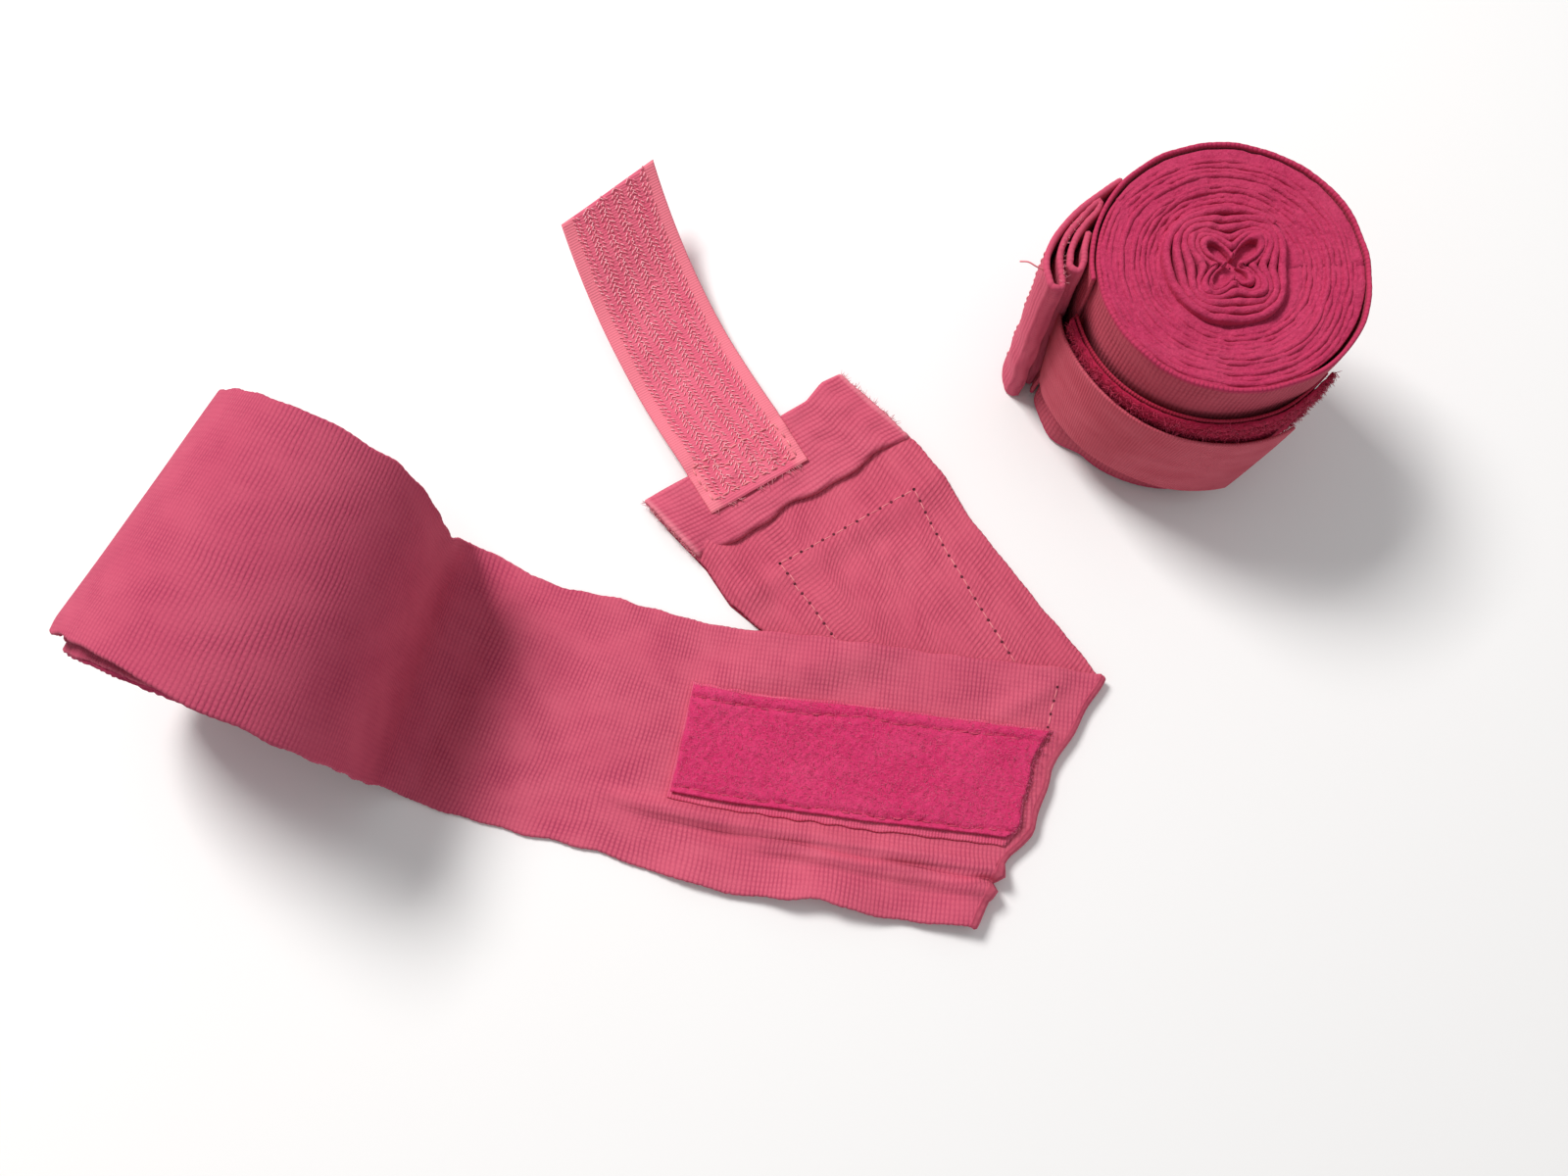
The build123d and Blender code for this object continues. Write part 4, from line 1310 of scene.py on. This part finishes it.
s, w = grid(spread(0, 59, 0.8), spread(-TAPE / 2, TAPE / 2, 0.9))
backing = cloth("second_loop_tape", second_patch_shape, s, w, 0.5, LOOP_TAPE_DARK)
dress(backing, "second_wrap", "loop_tape", "second_loop_backing")


def second_pile_shape(s, w):
    lump = 0.16 * ripple(s, w, 3.2, 101, 12) + 0.1 * ripple(s, w, 1.3, 102, 12)
    edge = smooth((TAPE / 2 - abs(w)) / 1.6)
    seam = bell(abs(w) - SEAM, 0.6)
    pressed = 0.35 * smooth((9 - w) / 3) * smooth((56 - s) / 4)
    return above(second_patch_shape, 0.3 + (0.8 + lump) * (0.4 + 0.6 * edge) - 0.35 * seam - pressed)(s, w)


s, w = grid(spread(0.5, 60, 0.6), spread(-TAPE / 2 + 0.4, TAPE / 2 - 0.4, 0.6))
pile = cloth("second_loop_fleece", second_pile_shape, s, w, 0.5, PILE_DARK)
dress(pile, "second_wrap", "loop_pile", "second_loop_pile")

CLOSED_LENGTH = 55.5
CLOSED_RADIUS = 27.8
CLOSED_BEND = 27.9     # the radius on which its length is measured round the roll
CLOSED_START = 22.0    # its middle height at the hem
closed_x = np.arange(-3, CLOSED_LENGTH + 3, FINE)
closed_slope = np.arctan(0.2 - 0.0096 * closed_x)
closed_along, closed_up = bent(closed_x, closed_slope)


def closed_shape(x, y):
    """The closed hook strip round the standing roll: x from the hem, y up."""
    slope = np.interp(x, closed_x, closed_slope)
    along = np.interp(x, closed_x, closed_along) - y * np.sin(slope)
    height = CLOSED_START + np.interp(x, closed_x, closed_up) + y * np.cos(slope)
    angle = HEM_ANGLE + np.degrees(along / CLOSED_BEND)
    lifted = CLOSED_RADIUS + 0.25 * smooth((x - 46) / 14)
    lifted = lifted - 0.5 * smooth((4 - x) / 6) + 0.15 * ripple(x, y, 24, 103)
    return around(angle, lifted, height)


x = spread(-1.5, CLOSED_LENGTH, 0.7)
x, y = grid(x, columns(*TAPE_COLUMNS))
closed = cloth("closed_strip_cloth", closed_shape, x, y, TAPE_THICK, TAPE_BACK)
dress(closed, None, "hook_tape", "closed_strip_tape")
closed_hooks = hook_field("closed_strip_hooks_field", above(closed_shape, -TAPE_THICK / 2), 4.0,
                          CLOSED_LENGTH - 2, "closed_strip_hooks", 104, 0.45)
bend_between((closed, closed_hooks))

TOP_FIBRES, END_FIBRES = 1500, 500    # along the patch's upper part and at its far end
rng = np.random.default_rng(110)
s = np.concatenate([rng.uniform(1, 60, TOP_FIBRES), rng.uniform(57, 60.5, END_FIBRES)])
w = np.concatenate([rng.uniform(5, TAPE / 2 - 0.4, TOP_FIBRES), rng.uniform(-TAPE / 2, TAPE / 2, END_FIBRES)])
fibres("second_loop_fibres", second_pile_shape, s, w, 1, 0.8, 0.08, FIBRE_DARK, "second_wrap", "loop_pile",
       111, 1.3, 1.0, 0.2)

# ---------------------------------------------------------------- thumb loops

# Its section: places along and across its flat side
THUMB_LOOP = ((-3.6, 0.9), (0, 1.05), (3.2, 0.95), (4.1, 0.0), (3.2, -0.95), (0, -1.05), (-3.2, -0.95),
              (-4.1, 0.0), (-3.6, 0.85))


def thumb_loop(name, node, axis, across_axis, body):
    """Flattened loop of narrow tape in a roll's core, bar-tacked along one side."""
    low, high = (np.array(corner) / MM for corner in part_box(node))
    centre = (low + high) / 2
    third = np.cross(axis, across_axis)
    path, length = polyline(THUMB_LOOP)

    def shape(q, v):
        at = path(q)
        return centre + across_axis * at[..., :1] + third * at[..., 1:] + axis * v[..., None]

    q, v = grid(spread(0, length, 0.5), spread(-9.8, 9.8, 1.2))
    loop = dress(cloth(name, shape, q, v, 0.6, TAPE_BACK), body, "band", node)
    stitches(name + "_threads", shape, [((5.0, -8.5), (5.0, 8.5))], [node + "_stitching"], body, sink=-0.3,
             radius=0.18)


thumb_loop("thumb_loop_cloth", "thumb_loop", SIDE, UP, "roll")
thumb_loop("second_thumb_loop_cloth", "second_thumb_loop", UP, heading(45), "second_wrap")

# ---------------------------------------------------------------- frayed ends and loose threads


def fray(name, shape, start, end, out, length, count, body, seed):
    """Short loose fibres along a cut edge, pointing roughly out of it."""
    rng = np.random.default_rng(seed)
    at = rng.uniform(0, 1, count)
    start, end = np.array(start, float), np.array(end, float)
    place = start + (end - start) * at[:, None] + rng.normal(0, 0.15, (count, 2))
    fibres(name, shape, place[:, 0], place[:, 1], 1, length, 0.07, FRAY, body, "thread", seed, 1.4, 0.8,
           along=out * 2.2)


fray("hem_fray_left", hem_shape, (4.0, 25.0), (20.0, 25.0), heading(TAIL_ANGLE + 90), 0.9, 130, "tail", 121)
fray("hem_fray_right", hem_shape, (3.5, -25.0), (20.0, -25.2), heading(TAIL_ANGLE - 90), 0.9, 110, "tail",
     122)
fray("strip_root_fray", above(strip_shape, -0.3), (-13.0, -11.5), (-13.0, 11.5), heading(STRIP_ANGLE + 180),
     1.0, 40, "tail", 123)
fray("second_hem_fray", second_hem_shape, (30.0, 24.6), (45.0, 24.6), UP * 0.6, 1.0, 70, "second_wrap", 124)


def loose_thread(name, points, radius, body):
    path, length = polyline(points)
    line = path(spread(0, length, 0.3))
    reference = np.array([[0.2, 0.3, 0.9]])
    dress(tubes(name, line[None], reference, radius, 6, np.array([[0.4, 0.7]]), THREAD), body, "thread")


tip = around(np.array(180.0), np.array(33.2), np.array(48.5))
loose_thread("second_loose_thread", tip + [(0, 0, 0), (-1.6, 0.2, 1.0), (-3.0, 0.9, 1.3), (-4.4, 1.3, 0.8)],
             0.16, "second_wrap")

# ---------------------------------------------------------------- the free stretch's own mesh and the fold turn's baked placement

panel_end = band_shape(np.array(PANEL_LENGTH), np.array(0.0))
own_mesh(free)
bend_between((fold_turn,))
